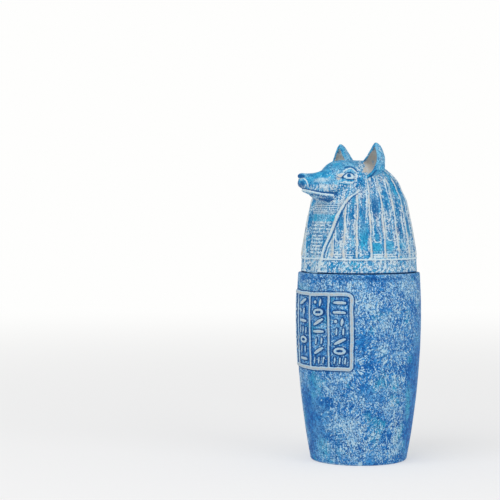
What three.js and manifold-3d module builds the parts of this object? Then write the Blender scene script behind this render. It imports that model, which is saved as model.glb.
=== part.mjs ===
// Canopic jar with a jackal-headed lid, a small cast copy painted in rubbed blue.
// Millimetres, +Z up. The origin is the centre of the jar's underside and the jackal looks along -Y.
// Angles around the jar are in degrees from the front (-Y) towards +X.
import * as THREE from 'three';
import { mergeVertices } from 'three/addons/utils/BufferGeometryUtils.js';
import Module from 'manifold-3d';

// Jar body
const JAR_HEIGHT = 118.6;
const BELLY_HEIGHT = 92;
const BELLY_RADIUS = 39.4;
const FOOT_RADIUS = 30.4;
const RIM_RADIUS = 38.5;
const FOOT_EDGE = 1.8;
const RIM_EDGE = 0.7;
const WALL = 7.5;
const FLOOR = 9;
const JAR_SIDES = 56;

// Inscription panel on the jar's front
const PANEL_TURN = 4.2;
const PANEL_LOW = 60.4;
const PANEL_HIGH = 106.3;
const PANEL_COLUMNS = 4;
const COLUMN_WIDTH = 15;
const BORDER_WIDTH = 2.6;
const DIVIDER_WIDTH = 1.7;
const FRAME_RISE = 0.8;
const STROKE_RISE = 0.7;
const STROKE_WIDTH = 1.6;
const STROKE_LENGTH = 8.6;

// Lid: wig, collar and plug
const SEAM_GAP = 0.3;
const LID_RADIUS = 36.7;
const LID_HEIGHT = 70.3;
const LID_EDGE = 0.8;
const PLUG_DEPTH = 8;
const PLUG_CLEARANCE = 0.6;
const BAND_HEIGHT = 9.3;
const BAND_LINE = 1;
const BAND_RISE = 0.5;
const LOCKS_PER_SIDE = 10;
const FIRST_LOCK = 27;
const LOCK_STEP = 11.6;
const LOCK_WIDENING = 0.47;
const LOCK_RIDGE = 1.3;
const LOCK_RISE = 0.8;
const LAPPET_STEP = 2.4;
const RIB_PITCH = 2.1;
const RIB_DEPTH = 0.6;

// Jackal's head
const SNOUT_REACH = 45;
const HEAD_WIDTH = 38;
const EAR_RISE = 10.8;
const EAR_WALL = 1.7;
const EAR_TIP = 0.25;
const EYE_LENGTH = 8.6;

// Shape of the free forms, as shares of the lid's height, the lid's radius or the head's own sizes
const WIG_PROFILE = [[0, 1], [0.13, 0.985], [0.285, 0.943], [0.47, 0.876], [0.64, 0.8],
  [0.735, 0.718], [0.78, 0.685], [0.87, 0.562], [0.91, 0.481], [0.953, 0.351], [1, 0]];
const LAPPET_EDGE = [[-0.03, 8.7], [0.13, 12.3], [0.225, 14.6], [0.33, 19.8], [0.52, 27.6],
  [0.655, 38], [0.745, 54], [0.83, 61]];
const CHEST_TOP = 0.83;
const RIBS_TOP = 0.46;
const NECKLACE_LOW = 0.52;
const NECKLACE_TOP = 0.6;
const SKULL = [
  { reach: 1, top: 0.845, low: 0.79, brow: 0.03, cheek: 0.04 },
  { reach: 0.968, top: 0.868, low: 0.762, brow: 0.19, cheek: 0.2 },
  { reach: 0.915, top: 0.878, low: 0.738, brow: 0.235, cheek: 0.27 },
  { reach: 0.8, top: 0.881, low: 0.715, brow: 0.265, cheek: 0.34 },
  { reach: 0.67, top: 0.896, low: 0.696, brow: 0.33, cheek: 0.45 },
  { reach: 0.575, top: 0.92, low: 0.688, brow: 0.43, cheek: 0.57 },
  { reach: 0.49, top: 0.958, low: 0.678, brow: 0.6, cheek: 0.75 },
  { reach: 0.405, top: 0.99, low: 0.668, brow: 0.69, cheek: 0.9 },
  { reach: 0.28, top: 1.002, low: 0.66, brow: 0.74, cheek: 1 },
  { reach: 0.1, top: 1.002, low: 0.66, brow: 0.7, cheek: 0.96 },
  { reach: -0.05, top: 0.97, low: 0.7, brow: 0.3, cheek: 0.4 },
];
const JAW = [
  { reach: 0.96, top: 0.75, low: 0.735, brow: 0.04, cheek: 0.05 },
  { reach: 0.93, top: 0.76, low: 0.715, brow: 0.17, cheek: 0.16 },
  { reach: 0.84, top: 0.75, low: 0.688, brow: 0.26, cheek: 0.22 },
  { reach: 0.73, top: 0.74, low: 0.65, brow: 0.35, cheek: 0.3 },
  { reach: 0.62, top: 0.73, low: 0.608, brow: 0.47, cheek: 0.4 },
  { reach: 0.5, top: 0.73, low: 0.592, brow: 0.68, cheek: 0.56 },
  { reach: 0.36, top: 0.73, low: 0.604, brow: 0.88, cheek: 0.78 },
  { reach: 0.15, top: 0.73, low: 0.64, brow: 0.6, cheek: 0.5 },
];
// Ear at each height: inner rim, outer rim, rim forward of the axis and depth of the back behind it
const EAR = [
  { up: 0.815, inner: 0.2, outer: 0.5, rim: 0.27, depth: 0.3 },
  { up: 0.85, inner: 0.2, outer: 0.59, rim: 0.235, depth: 0.35 },
  { up: 0.9, inner: 0.2, outer: 0.665, rim: 0.165, depth: 0.34 },
  { up: 0.965, inner: 0.205, outer: 0.682, rim: 0.115, depth: 0.29 },
  { up: 1.02, inner: 0.285, outer: 0.665, rim: 0.075, depth: 0.235 },
  { up: 1.07, inner: 0.37, outer: 0.63, rim: 0.06, depth: 0.18 },
  { up: 1.12, inner: 0.445, outer: 0.585, rim: 0.045, depth: 0.11 },
  { up: 1.15, inner: 0.5, outer: 0.53, rim: 0.03, depth: 0.02 },
];

// How far the ear, and the hollow scooped out of it, reach in front of its rim
const EAR_FRONT = 0.016;
const SCOOP_FRONT = 0.136;

// Rows of plain strokes in each column, from its top down
const STROKE_ROWS = [
  ['pair', 'bar', 'slant', 'dots', 'lens', 'bar', 'ticks'],
  ['slant', 'dots', 'bar', 'ticks', 'lens', 'pair', 'bar'],
  ['dots', 'lens', 'slant', 'bar', 'pair', 'slant', 'ticks'],
  ['bar', 'bar', 'dots', 'pair', 'slant', 'lens', 'ticks'],
];

const wasm = await Module();
wasm.setup();

const lidBase = JAR_HEIGHT + SEAM_GAP;
const mouthRadius = RIM_RADIUS - WALL;
const degrees = Math.PI / 180;

// Point at an angle, radius and height around the jar's axis
function around(angle, radius, height) {
  return new THREE.Vector3(
    radius * Math.sin(angle * degrees),
    -radius * Math.cos(angle * degrees),
    height,
  );
}

// Smooth line through pairs of numbers in rising order, flat where they turn
function smooth(pairs, x) {
  const last = pairs.length - 1;
  const at = THREE.MathUtils.clamp(x, pairs[0][0], pairs[last][0]);
  const slope = (i) => (pairs[i + 1][1] - pairs[i][1]) / (pairs[i + 1][0] - pairs[i][0]);
  const tangent = (i) => {
    if (i === 0) return slope(0);
    if (i === last) return slope(last - 1);
    const before = slope(i - 1);
    const after = slope(i);
    return before * after <= 0 ? 0 : (2 * before * after) / (before + after);
  };
  const k = Math.min(last - 1, pairs.findLastIndex(([start]) => start <= at));
  const span = pairs[k + 1][0] - pairs[k][0];
  const t = (at - pairs[k][0]) / span;
  const low = pairs[k][1] * (1 + 2 * t) + tangent(k) * span * t;
  const high = pairs[k + 1][1] * (3 - 2 * t) - tangent(k + 1) * span * (1 - t);
  return low * (1 - t) ** 2 + high * t ** 2;
}

// Geometry with every vertex moved by a function, its shared vertices merged
function reshaped(geometry, move) {
  geometry.deleteAttribute('normal');
  geometry.deleteAttribute('uv');
  const place = geometry.attributes.position;
  const point = new THREE.Vector3();
  for (let i = 0; i < place.count; i++) {
    point.fromBufferAttribute(place, i);
    const moved = move(point);
    place.setXYZ(i, moved.x, moved.y, moved.z);
  }
  return mergeVertices(geometry, 1e-4);
}

// Solid of a closed geometry
function solid(geometry) {
  return new wasm.Manifold(new wasm.Mesh({
    numProp: 3,
    vertProperties: Float32Array.from(geometry.attributes.position.array),
    triVerts: Uint32Array.from(geometry.index.array),
  }));
}

// Mesh of a solid, with its own paint
function meshOf(name, body, colour) {
  const { vertProperties, triVerts } = body.getMesh();
  const geometry = new THREE.BufferGeometry();
  geometry.setAttribute('position', new THREE.BufferAttribute(new Float32Array(vertProperties), 3));
  geometry.setIndex(new THREE.BufferAttribute(new Uint32Array(triVerts), 1));
  geometry.computeVertexNormals();
  const material = new THREE.MeshStandardMaterial({ color: colour, roughness: 0.6, metalness: 0 });
  const mesh = new THREE.Mesh(geometry, material);
  mesh.name = name;
  return mesh;
}

// Body turned around the jar's axis from a profile of (radius, height) points
function turned(points, segments, move = (point) => point) {
  const profile = points.map(([radius, height]) => new THREE.Vector2(radius, height));
  const geometry = new THREE.LatheGeometry(profile, segments);
  geometry.rotateX(Math.PI / 2);
  return reshaped(geometry, move);
}

// Jar body

function jarRadius(height) {
  if (height < BELLY_HEIGHT) {
    const fall = (BELLY_HEIGHT - height) / BELLY_HEIGHT;
    return BELLY_RADIUS - (BELLY_RADIUS - FOOT_RADIUS) * fall ** 1.95;
  }
  const rise = (height - BELLY_HEIGHT) / (JAR_HEIGHT - BELLY_HEIGHT);
  return BELLY_RADIUS - (BELLY_RADIUS - RIM_RADIUS) * rise ** 2;
}

function jarBody() {
  const wallSteps = 8;
  const profile = [[0, 0], [jarRadius(0) - FOOT_EDGE, 0], [jarRadius(FOOT_EDGE), FOOT_EDGE]];
  for (let i = 1; i <= wallSteps; i++) {
    const height = FOOT_EDGE + ((JAR_HEIGHT - RIM_EDGE - FOOT_EDGE) * i) / wallSteps;
    profile.push([jarRadius(height), height]);
  }
  profile.push([RIM_RADIUS - RIM_EDGE, JAR_HEIGHT], [mouthRadius + RIM_EDGE, JAR_HEIGHT]);
  profile.push([mouthRadius, JAR_HEIGHT - RIM_EDGE]);
  const hollowSteps = 4;
  for (let i = 1; i <= hollowSteps; i++) {
    const height = JAR_HEIGHT - ((JAR_HEIGHT - FLOOR - WALL / 2) * i) / hollowSteps;
    profile.push([jarRadius(height) - WALL, height]);
  }
  profile.push([jarRadius(FLOOR) - WALL * 1.4, FLOOR], [0, FLOOR]);
  return solid(turned(profile, JAR_SIDES));
}

// Flat form bent onto the jar's wall: x runs along the wall, y up and z out of it
function onWall(geometry, angle, height) {
  return solid(reshaped(geometry, (p) => {
    const level = height + p.y;
    const turn = angle + p.x / (BELLY_RADIUS * degrees);
    return around(turn, jarRadius(level) + p.z, level);
  }));
}

function bar(width, height, rise) {
  const across = Math.max(1, Math.ceil(width / 5));
  const up = Math.max(1, Math.ceil(height / 12));
  const sunk = 1;
  return new THREE.BoxGeometry(width, height, rise + sunk, across, up, 1)
    .translate(0, 0, (rise - sunk) / 2);
}

function roundMark(width, height, rise) {
  const sunk = 1;
  return new THREE.CylinderGeometry(0.5, 0.5, rise + sunk, 8)
    .rotateX(Math.PI / 2)
    .scale(width, height, 1)
    .translate(0, 0, (rise - sunk) / 2);
}

// Strokes of one row, each a flat form about the row's middle
function strokes(kind, rowHeight) {
  const tall = rowHeight * 0.66;
  const post = (x) => bar(STROKE_WIDTH, tall, STROKE_RISE).translate(x, 0, 0);
  const reach = STROKE_LENGTH / 2 - STROKE_WIDTH / 2;
  if (kind === 'bar') return [bar(STROKE_LENGTH, STROKE_WIDTH, STROKE_RISE)];
  if (kind === 'pair') return [post(-reach * 0.6), post(reach * 0.6)];
  if (kind === 'ticks') return [post(-reach), post(0), post(reach)];
  if (kind === 'slant') {
    return [bar(STROKE_LENGTH, STROKE_WIDTH, STROKE_RISE).rotateZ(Math.PI / 7)];
  }
  if (kind === 'lens') return [roundMark(STROKE_LENGTH, tall * 0.75, STROKE_RISE)];
  return [
    roundMark(STROKE_WIDTH * 1.7, STROKE_WIDTH * 1.7, STROKE_RISE).translate(-reach * 0.7, 0, 0),
    post(reach * 0.6),
  ];
}

function inscriptionPanel() {
  const parts = [];
  const turnOf = (x) => PANEL_TURN + x / (BELLY_RADIUS * degrees);
  const middle = (PANEL_LOW + PANEL_HIGH) / 2;
  const height = PANEL_HIGH - PANEL_LOW;
  const half = (PANEL_COLUMNS * COLUMN_WIDTH) / 2;
  for (const level of [PANEL_LOW, PANEL_HIGH]) {
    parts.push(onWall(bar(2 * half + BORDER_WIDTH, BORDER_WIDTH, FRAME_RISE), PANEL_TURN, level));
  }
  for (let i = 0; i <= PANEL_COLUMNS; i++) {
    const edge = i === 0 || i === PANEL_COLUMNS;
    const width = edge ? BORDER_WIDTH : DIVIDER_WIDTH;
    parts.push(onWall(bar(width, height, FRAME_RISE), turnOf(i * COLUMN_WIDTH - half), middle));
  }
  const rows = STROKE_ROWS[0].length;
  const rowHeight = (height - BORDER_WIDTH) / (rows + 0.3);
  for (let i = 0; i < PANEL_COLUMNS; i++) {
    const kinds = STROKE_ROWS[i % STROKE_ROWS.length];
    kinds.forEach((kind, row) => {
      const level = PANEL_HIGH - BORDER_WIDTH / 2 - rowHeight * (row + 0.65);
      const turn = turnOf((i + 0.5) * COLUMN_WIDTH - half);
      strokes(kind, rowHeight).forEach((form) => parts.push(onWall(form, turn, level)));
    });
  }
  return parts;
}

// Lid

// Radius of the wig at a height above the lid's underside
function wigRadius(height) {
  const squares = WIG_PROFILE.map(([up, out]) => [up, out ** 2]);
  return LID_RADIUS * Math.sqrt(Math.max(0, smooth(squares, height / LID_HEIGHT)));
}

// Angle of the lappet's inner edge at a height above the lid's underside
function lappetEdge(height) {
  return smooth(LAPPET_EDGE, height / LID_HEIGHT);
}

// Middle angle of a lock's raised ridge, counted from the front on each side
function lockAngle(index) {
  return FIRST_LOCK + LOCK_STEP * index + LOCK_WIDENING * index ** 2;
}

// Angles that the wig is cut at, each with its share of the ridge's rise
function wigStations() {
  const side = [];
  for (let i = 0; i < LOCKS_PER_SIDE; i++) {
    const half = LOCK_RIDGE / (2 * LID_RADIUS * degrees);
    const middle = lockAngle(i);
    side.push([middle - 2 * half, 0], [middle - half, 1], [middle + half, 1], [middle + 2 * half, 0]);
  }
  const front = [-2, -1, 0, 1, 2].map((third) => [third * FIRST_LOCK / 3, 0]);
  const mirrored = side.map(([angle, share]) => [-angle, share]).reverse();
  return [...mirrored, ...front, ...side];
}

function wig() {
  const stations = wigStations();
  const ridgeTop = LID_HEIGHT * 0.9;
  const levels = [0.3, 0.46, 0.6, 0.72, 0.82, 0.9, 0.955];
  const line = BAND_HEIGHT - BAND_LINE;
  const collar = [
    [LID_RADIUS - LID_EDGE, 0],
    [wigRadius(LID_EDGE), LID_EDGE],
    [wigRadius(line), line],
    [wigRadius(line) + BAND_RISE, line + BAND_LINE * 0.2],
    [wigRadius(BAND_HEIGHT) + BAND_RISE, BAND_HEIGHT],
    [wigRadius(BAND_HEIGHT), BAND_HEIGHT + BAND_LINE * 0.2],
  ];
  const plugRadius = mouthRadius - PLUG_CLEARANCE;
  const profile = [[0, -PLUG_DEPTH], [plugRadius - LID_EDGE, -PLUG_DEPTH],
    [plugRadius, LID_EDGE - PLUG_DEPTH], [plugRadius, 0], ...collar];
  levels.forEach((share) => profile.push([wigRadius(share * LID_HEIGHT), share * LID_HEIGHT]));
  profile.push([0, LID_HEIGHT]);
  const segments = stations.length;
  return solid(turned(profile, segments, (p) => {
    const radius = Math.hypot(p.x, p.y);
    const column = Math.round((Math.atan2(p.x, -p.y) / (2 * Math.PI)) * segments);
    const [angle, share] = stations[(column + segments) % segments];
    const fade = THREE.MathUtils.smoothstep(ridgeTop - p.z, 0, LID_HEIGHT * 0.114);
    const rise = p.z > BAND_HEIGHT + BAND_LINE ? LOCK_RISE * share * fade : 0;
    return around(angle, radius + rise, p.z);
  }));
}

// Depth of the chest's carving at a height: ribs below a plain band, fine lines under the chin
function chestRelief(height) {
  const share = height / LID_HEIGHT;
  const ribbed = height > BAND_HEIGHT && share < RIBS_TOP;
  const strung = share > NECKLACE_LOW && share < NECKLACE_TOP;
  if (!ribbed && !strung) return 0;
  return RIB_DEPTH * (Math.round((2 * height) / RIB_PITCH) % 2);
}

// Space in front of the chest, between the wig's two lappets
function chestRecess() {
  const low = -1;
  const high = CHEST_TOP * LID_HEIGHT;
  const rows = Math.round((2 * (high - low)) / RIB_PITCH);
  const geometry = new THREE.BoxGeometry(1, 1, 1, 6, rows, 1);
  const clear = 14;
  return solid(reshaped(geometry, (p) => {
    const height = low + (high - low) * (p.y + 0.5);
    const angle = 2 * p.x * lappetEdge(height);
    const wall = wigRadius(height) - LAPPET_STEP - chestRelief(height);
    return around(angle, p.z > 0 ? wigRadius(height) + clear : wall, height);
  }));
}

// Closed form whose sections are placed by the share of its length and the angle around it
function swept(along, aroundIt, place) {
  const geometry = new THREE.SphereGeometry(1, aroundIt, along);
  return reshaped(geometry, (p) => {
    const share = Math.acos(THREE.MathUtils.clamp(p.y, -1, 1)) / Math.PI;
    return place(share, Math.atan2(p.z, p.x));
  });
}

// Values of a row of stations at a share of its length
function stationAt(stations, share) {
  const at = share * (stations.length - 1);
  const value = (key) => smooth(stations.map((station, i) => [i, station[key]]), at);
  return Object.fromEntries(Object.keys(stations[0]).map((key) => [key, value(key)]));
}

// Skull or jaw: rounded sections from the nose back into the wig, wider at the cheek than the brow
function headForm(stations, along, squareness) {
  return solid(swept(along, 16, (share, angle) => {
    const s = stationAt(stations, share);
    const up = Math.sin(angle);
    const width = (1 - Math.abs(up) ** squareness) ** (1 / squareness);
    const side = -Math.sign(Math.cos(angle)) * width;
    const lean = THREE.MathUtils.lerp(s.cheek, s.brow, (up + 1) / 2);
    const middle = (s.top + s.low) / 2;
    const pole = share < 1e-3 || share > 1 - 1e-3;
    return new THREE.Vector3(
      pole ? 0 : side * lean * HEAD_WIDTH / 2,
      -s.reach * SNOUT_REACH,
      (middle + (pole ? 0 : up * (s.top - s.low) / 2)) * LID_HEIGHT,
    );
  }));
}

// Height of a station of the ear: the part above the crown follows the ear's own rise
function earHeight(up) {
  if (up <= 1) return up * LID_HEIGHT;
  return LID_HEIGHT + ((up - 1) / (EAR[EAR.length - 1].up - 1)) * EAR_RISE;
}

// One ear on the +X side, or the hollow scooped out of its front
function earForm(wall) {
  return solid(swept(10, 12, (share, angle) => {
    const s = stationAt(EAR, share);
    const middle = ((s.inner + s.outer) / 2) * LID_RADIUS;
    const half = Math.max(EAR_TIP, ((s.outer - s.inner) / 2) * LID_RADIUS - wall);
    const depth = Math.max(EAR_TIP, s.depth * LID_RADIUS - wall * 1.2);
    const back = Math.sin(angle);
    const front = LID_RADIUS * (wall > 0 ? SCOOP_FRONT : EAR_FRONT);
    const pole = share < 1e-3 || share > 1 - 1e-3;
    const drop = wall * (1 - 2 * share);
    return new THREE.Vector3(
      middle + (pole ? 0 : half * Math.cos(angle)),
      -s.rim * LID_RADIUS + (pole ? 0 : back * (back > 0 ? depth : front)),
      earHeight(s.up) + drop,
    );
  }));
}

function ear() {
  return earForm(0).subtract(earForm(EAR_WALL));
}

// Almond eye on the +X side, lying along the side of the head
function eye() {
  const form = new THREE.SphereGeometry(0.5, 10, 6)
    .scale(EYE_LENGTH, 2.4, 3.4)
    .rotateY(-64 * degrees);
  return solid(reshaped(form.rotateX(Math.PI / 2), (p) => new THREE.Vector3(
    p.x + 0.37 * HEAD_WIDTH,
    p.y - 0.375 * SNOUT_REACH,
    p.z + 0.868 * LID_HEIGHT,
  )));
}

// Nose pad over the lip
function nose() {
  return solid(reshaped(new THREE.SphereGeometry(0.5, 8, 6), (p) => new THREE.Vector3(
    p.x * 0.22 * HEAD_WIDTH,
    p.y * 5 - 0.965 * SNOUT_REACH,
    p.z * 4 + 0.853 * LID_HEIGHT,
  )));
}

function mirrored(body) {
  return body.mirror([1, 0, 0]);
}

function lidBody() {
  let body = wig().subtract(chestRecess());
  body = body.add(headForm(SKULL, 13, 2.3)).add(headForm(JAW, 8, 2.2)).add(nose());
  for (const form of [ear(), eye()]) {
    body = body.add(form).add(mirrored(form));
  }
  return body.translate([0, 0, lidBase]);
}

function jarWithPanel() {
  return inscriptionPanel().reduce((body, part) => body.add(part), jarBody());
}

const canopicJar = new THREE.Group();
canopicJar.add(meshOf('jar', jarWithPanel(), '#3f82c0'));
canopicJar.add(meshOf('lid', lidBody(), '#4b93c9'));

export default canopicJar;
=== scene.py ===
"""Dresses the canopic jar: lid and body in rubbed blue paint, a pale floor, soft light and a camera."""

import logging
import math
from collections.abc import Callable
from dataclasses import dataclass
from enum import Enum

import bpy
import numpy as np
from mathutils import Matrix, Vector, noise


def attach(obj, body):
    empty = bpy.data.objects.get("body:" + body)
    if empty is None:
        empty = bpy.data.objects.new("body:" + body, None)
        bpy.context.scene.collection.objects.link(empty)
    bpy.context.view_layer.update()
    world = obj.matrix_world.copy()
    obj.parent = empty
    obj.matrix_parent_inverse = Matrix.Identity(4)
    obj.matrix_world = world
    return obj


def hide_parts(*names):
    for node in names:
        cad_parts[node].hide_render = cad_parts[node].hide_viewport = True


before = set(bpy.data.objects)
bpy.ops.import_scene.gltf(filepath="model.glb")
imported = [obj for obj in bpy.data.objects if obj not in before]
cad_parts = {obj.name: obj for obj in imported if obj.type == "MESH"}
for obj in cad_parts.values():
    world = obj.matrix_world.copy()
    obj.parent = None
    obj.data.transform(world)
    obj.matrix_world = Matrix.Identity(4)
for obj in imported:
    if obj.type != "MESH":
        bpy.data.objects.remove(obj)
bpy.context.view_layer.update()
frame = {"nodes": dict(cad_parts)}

LOG = logging.getLogger("canopic_jar")
MM = 0.001
DEGREES = math.pi / 180
# Share of a rounded edge's radius by which the middle of the rounding lies in from the corner
EDGE_MIDDLE = 0.3
# Depth that stands for far outside a form
OUTSIDE = -9.0
# Share of a swept form's length that still counts as its very end
POLE = 1e-3
# Paint shares that a carving stores on its piece and the finish reads; the dark share also holds painted
# shade, the pale share a painted glint
PAINT_SHARES = ("rub", "pool", "tan", "wear", "teal")
# Settings of the nodes that the finish uses most
SOFT = {"interpolation_type": "SMOOTHSTEP"}
PLUS = {"operation": "ADD"}
TIMES = {"operation": "MULTIPLY"}
LESS = {"operation": "SUBTRACT"}
COLOUR = {"data_type": "RGBA"}

Array = np.ndarray
Socket = bpy.types.NodeSocket
Pairs = tuple[tuple[float, float], ...]
Rows = tuple[tuple[float, ...], ...]


def smooth(pairs: Pairs, x: Array) -> Array:
    """Smooth line through pairs of numbers in rising order, flat where they turn.

    Args:
        pairs: Points (x, y) that the line goes through.
        x: Places to read the line at.

    Returns:
        The line's value at each place.
    """
    knots = np.array(pairs, dtype=float)
    at = np.clip(x, knots[0, 0], knots[-1, 0])
    slope = np.diff(knots[:, 1]) / np.diff(knots[:, 0])
    before, after = slope[:-1], slope[1:]
    same = before * after > 0
    inner = np.where(same, 2 * before * after / np.where(same, before + after, 1), 0)
    tangent = np.concatenate([slope[:1], inner, slope[-1:]])
    k = np.clip(np.searchsorted(knots[:, 0], at, side="right") - 1, 0, len(slope) - 1)
    span = knots[k + 1, 0] - knots[k, 0]
    t = (at - knots[k, 0]) / span
    low = knots[k, 1] * (1 + 2 * t) + tangent[k] * span * t
    high = knots[k + 1, 1] * (3 - 2 * t) - tangent[k + 1] * span * (1 - t)
    return low * (1 - t) ** 2 + high * t**2


def ramp(x: Array, low: float, high: float) -> Array:
    """Rises smoothly from 0 at low to 1 at high, or falls where low is above high."""
    t = np.clip((x - low) / (high - low), 0, 1)
    return t * t * (3 - 2 * t)


def bent(points: Pairs, steps: int = 6) -> Array:
    """Smooth curve through a few points of a plane.

    Args:
        points: Points that the curve goes through.
        steps: Number of short lines between two of them.

    Returns:
        The curve's points, one row each.
    """
    p = np.array(points, dtype=float)
    ends = np.vstack([2 * p[0] - p[1], p, 2 * p[-1] - p[-2]])
    t = np.linspace(0, 1, steps, endpoint=False)[:, None]
    rows = []
    for a, b, c, d in zip(ends[:-3], ends[1:-2], ends[2:-1], ends[3:]):
        square = (2 * a - 5 * b + 4 * c - d) * t**2
        cube = (3 * b - a - 3 * c + d) * t**3
        rows.append(0.5 * (2 * b + (c - a) * t + square + cube))
    return np.vstack([*rows, p[-1:]])


def line_distance(u: Array, w: Array, line: Array) -> Array:
    """Distance of points to a line of short straight pieces.

    Args:
        u: Place across of each point.
        w: Place up of each point.
        line: The line's own points, one row each.

    Returns:
        The shortest distance from each point.
    """
    best = np.full(u.shape, 1e9)
    for (u0, w0), (u1, w1) in zip(line[:-1], line[1:]):
        du, dw = u1 - u0, w1 - w0
        t = np.clip(((u - u0) * du + (w - w0) * dw) / max(du * du + dw * dw, 1e-9), 0, 1)
        best = np.minimum(best, np.hypot(u - u0 - t * du, w - w0 - t * dw))
    return best


def deselect_all() -> None:
    """Leaves object mode's selection empty."""
    if bpy.context.mode != "OBJECT":
        bpy.ops.object.mode_set(mode="OBJECT")
    bpy.ops.object.select_all(action="DESELECT")


def make_active(piece: bpy.types.Object) -> None:
    """Selects a piece alone and makes it the active one.

    Args:
        piece: The piece that the next steps work on.
    """
    deselect_all()
    piece.select_set(True)
    bpy.context.view_layer.objects.active = piece


def read_points(piece: bpy.types.Object, what: str = "co") -> Array:
    """Reads a piece's vertices.

    Args:
        piece: The piece.
        what: "co" for their places or "normal" for their normals.

    Returns:
        The places or normals, one row each.
    """
    flat = np.empty(len(piece.data.vertices) * 3, dtype=np.float32)
    piece.data.vertices.foreach_get(what, flat)
    return flat.reshape(-1, 3).astype(float)


def write_points(piece: bpy.types.Object, points: Array) -> None:
    """Puts a piece's vertices at the points given, one row each."""
    piece.data.vertices.foreach_set("co", points.astype(np.float32).ravel())
    piece.data.update()


def swept_form(
    name: str, rings: int, segments: int, place: Callable[[Array, Array], Array]
) -> bpy.types.Object:
    """Closed form made from a sphere whose vertices are placed by their share of its length and their angle.

    Args:
        name: The piece's name.
        rings: Rows of faces from end to end.
        segments: Faces around it.
        place: Gives a row (x, y, z) in millimetres for each share from 0 to 1 and angle in radians.

    Returns:
        The new object, with its faces pointing outwards.
    """
    deselect_all()
    bpy.ops.mesh.primitive_uv_sphere_add(segments=segments, ring_count=rings, radius=1.0)
    piece = bpy.context.object
    piece.name = name
    piece.data.name = name
    ball = read_points(piece)
    share = np.arccos(np.clip(ball[:, 2], -1, 1)) / math.pi
    share = np.round(share * rings) / rings
    angle = np.arctan2(ball[:, 1], ball[:, 0])
    write_points(piece, place(share, angle) * MM)
    bpy.ops.object.mode_set(mode="EDIT")
    bpy.ops.mesh.select_all(action="SELECT")
    bpy.ops.mesh.normals_make_consistent(inside=False)
    bpy.ops.object.mode_set(mode="OBJECT")
    return piece


def ellipsoid(name: str, middle: Vector, radii: Vector, turn: float = 0.0) -> bpy.types.Object:
    """Rounded lump of clay.

    Args:
        name: The piece's name.
        middle: Its middle, in millimetres.
        radii: Its half sizes, in millimetres.
        turn: Its turn about the vertical, in degrees.

    Returns:
        The new object.
    """
    deselect_all()
    bpy.ops.mesh.primitive_ico_sphere_add(subdivisions=4, radius=MM)
    piece = bpy.context.object
    piece.name = name
    spin = Matrix.Rotation(turn * DEGREES, 4, "Z")
    piece.data.transform(Matrix.Translation(middle * MM) @ spin @ Matrix.Diagonal((*radii, 1)))
    return piece


def cut_away(piece: bpy.types.Object, cutter: bpy.types.Object) -> None:
    """Cuts one piece out of another.

    Args:
        piece: The piece that is cut.
        cutter: The form that is cut out of it, which is deleted.
    """
    make_active(piece)
    modifier = piece.modifiers.new("cut", "BOOLEAN")
    modifier.operation = "DIFFERENCE"
    modifier.solver = "EXACT"
    modifier.object = cutter
    bpy.ops.object.modifier_apply(modifier=modifier.name)
    bpy.data.objects.remove(cutter)


def mirrored_copy(piece: bpy.types.Object) -> bpy.types.Object:
    """Copies a piece to the other side of the jackal.

    Args:
        piece: The piece on the one side.

    Returns:
        The new piece on the other side.
    """
    make_active(piece)
    bpy.ops.object.duplicate()
    twin = bpy.context.object
    points = read_points(twin)
    points[:, 0] *= -1
    write_points(twin, points)
    bpy.ops.object.mode_set(mode="EDIT")
    bpy.ops.mesh.select_all(action="SELECT")
    bpy.ops.mesh.flip_normals()
    bpy.ops.object.mode_set(mode="OBJECT")
    return twin


def joined(pieces: list[bpy.types.Object], name: str) -> bpy.types.Object:
    """Joins several objects into one.

    Args:
        pieces: The objects.
        name: The name of what they become.

    Returns:
        The one object.
    """
    deselect_all()
    for piece in pieces:
        piece.select_set(True)
    bpy.context.view_layer.objects.active = pieces[0]
    bpy.ops.object.join()
    piece = bpy.context.object
    piece.name = name
    piece.data.name = name
    return piece


def linear(hex_colour: str) -> tuple[float, float, float, float]:
    """Linear colour of an sRGB hex value."""
    parts = [int(hex_colour[i : i + 2], 16) / 255 for i in (1, 3, 5)]
    return (*[p / 12.92 if p <= 0.04045 else ((p + 0.055) / 1.055) ** 2.4 for p in parts], 1.0)


def add_node(tree: bpy.types.NodeTree, kind: str, inputs: dict, out: int | str | None = 0,
             **settings: object) -> bpy.types.NodeSocket | None:
    """Adds a node with its settings and links.

    Args:
        tree: The nodes that it joins.
        kind: The node's type, without its prefix.
        inputs: Values, hex colours or sockets for its inputs, by name or number.
        out: The output that is wanted, or None.
        **settings: Values for its own settings.

    Returns:
        The output's socket, or None.
    """
    node = tree.nodes.new("ShaderNode" + kind)
    for key, value in settings.items():
        setattr(node, key, value)
    for key, value in inputs.items():
        if isinstance(value, bpy.types.NodeSocket):
            tree.links.new(value, node.inputs[key])
        else:
            node.inputs[key].default_value = linear(value) if isinstance(value, str) else value
    return None if out is None else node.outputs[out]


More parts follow.
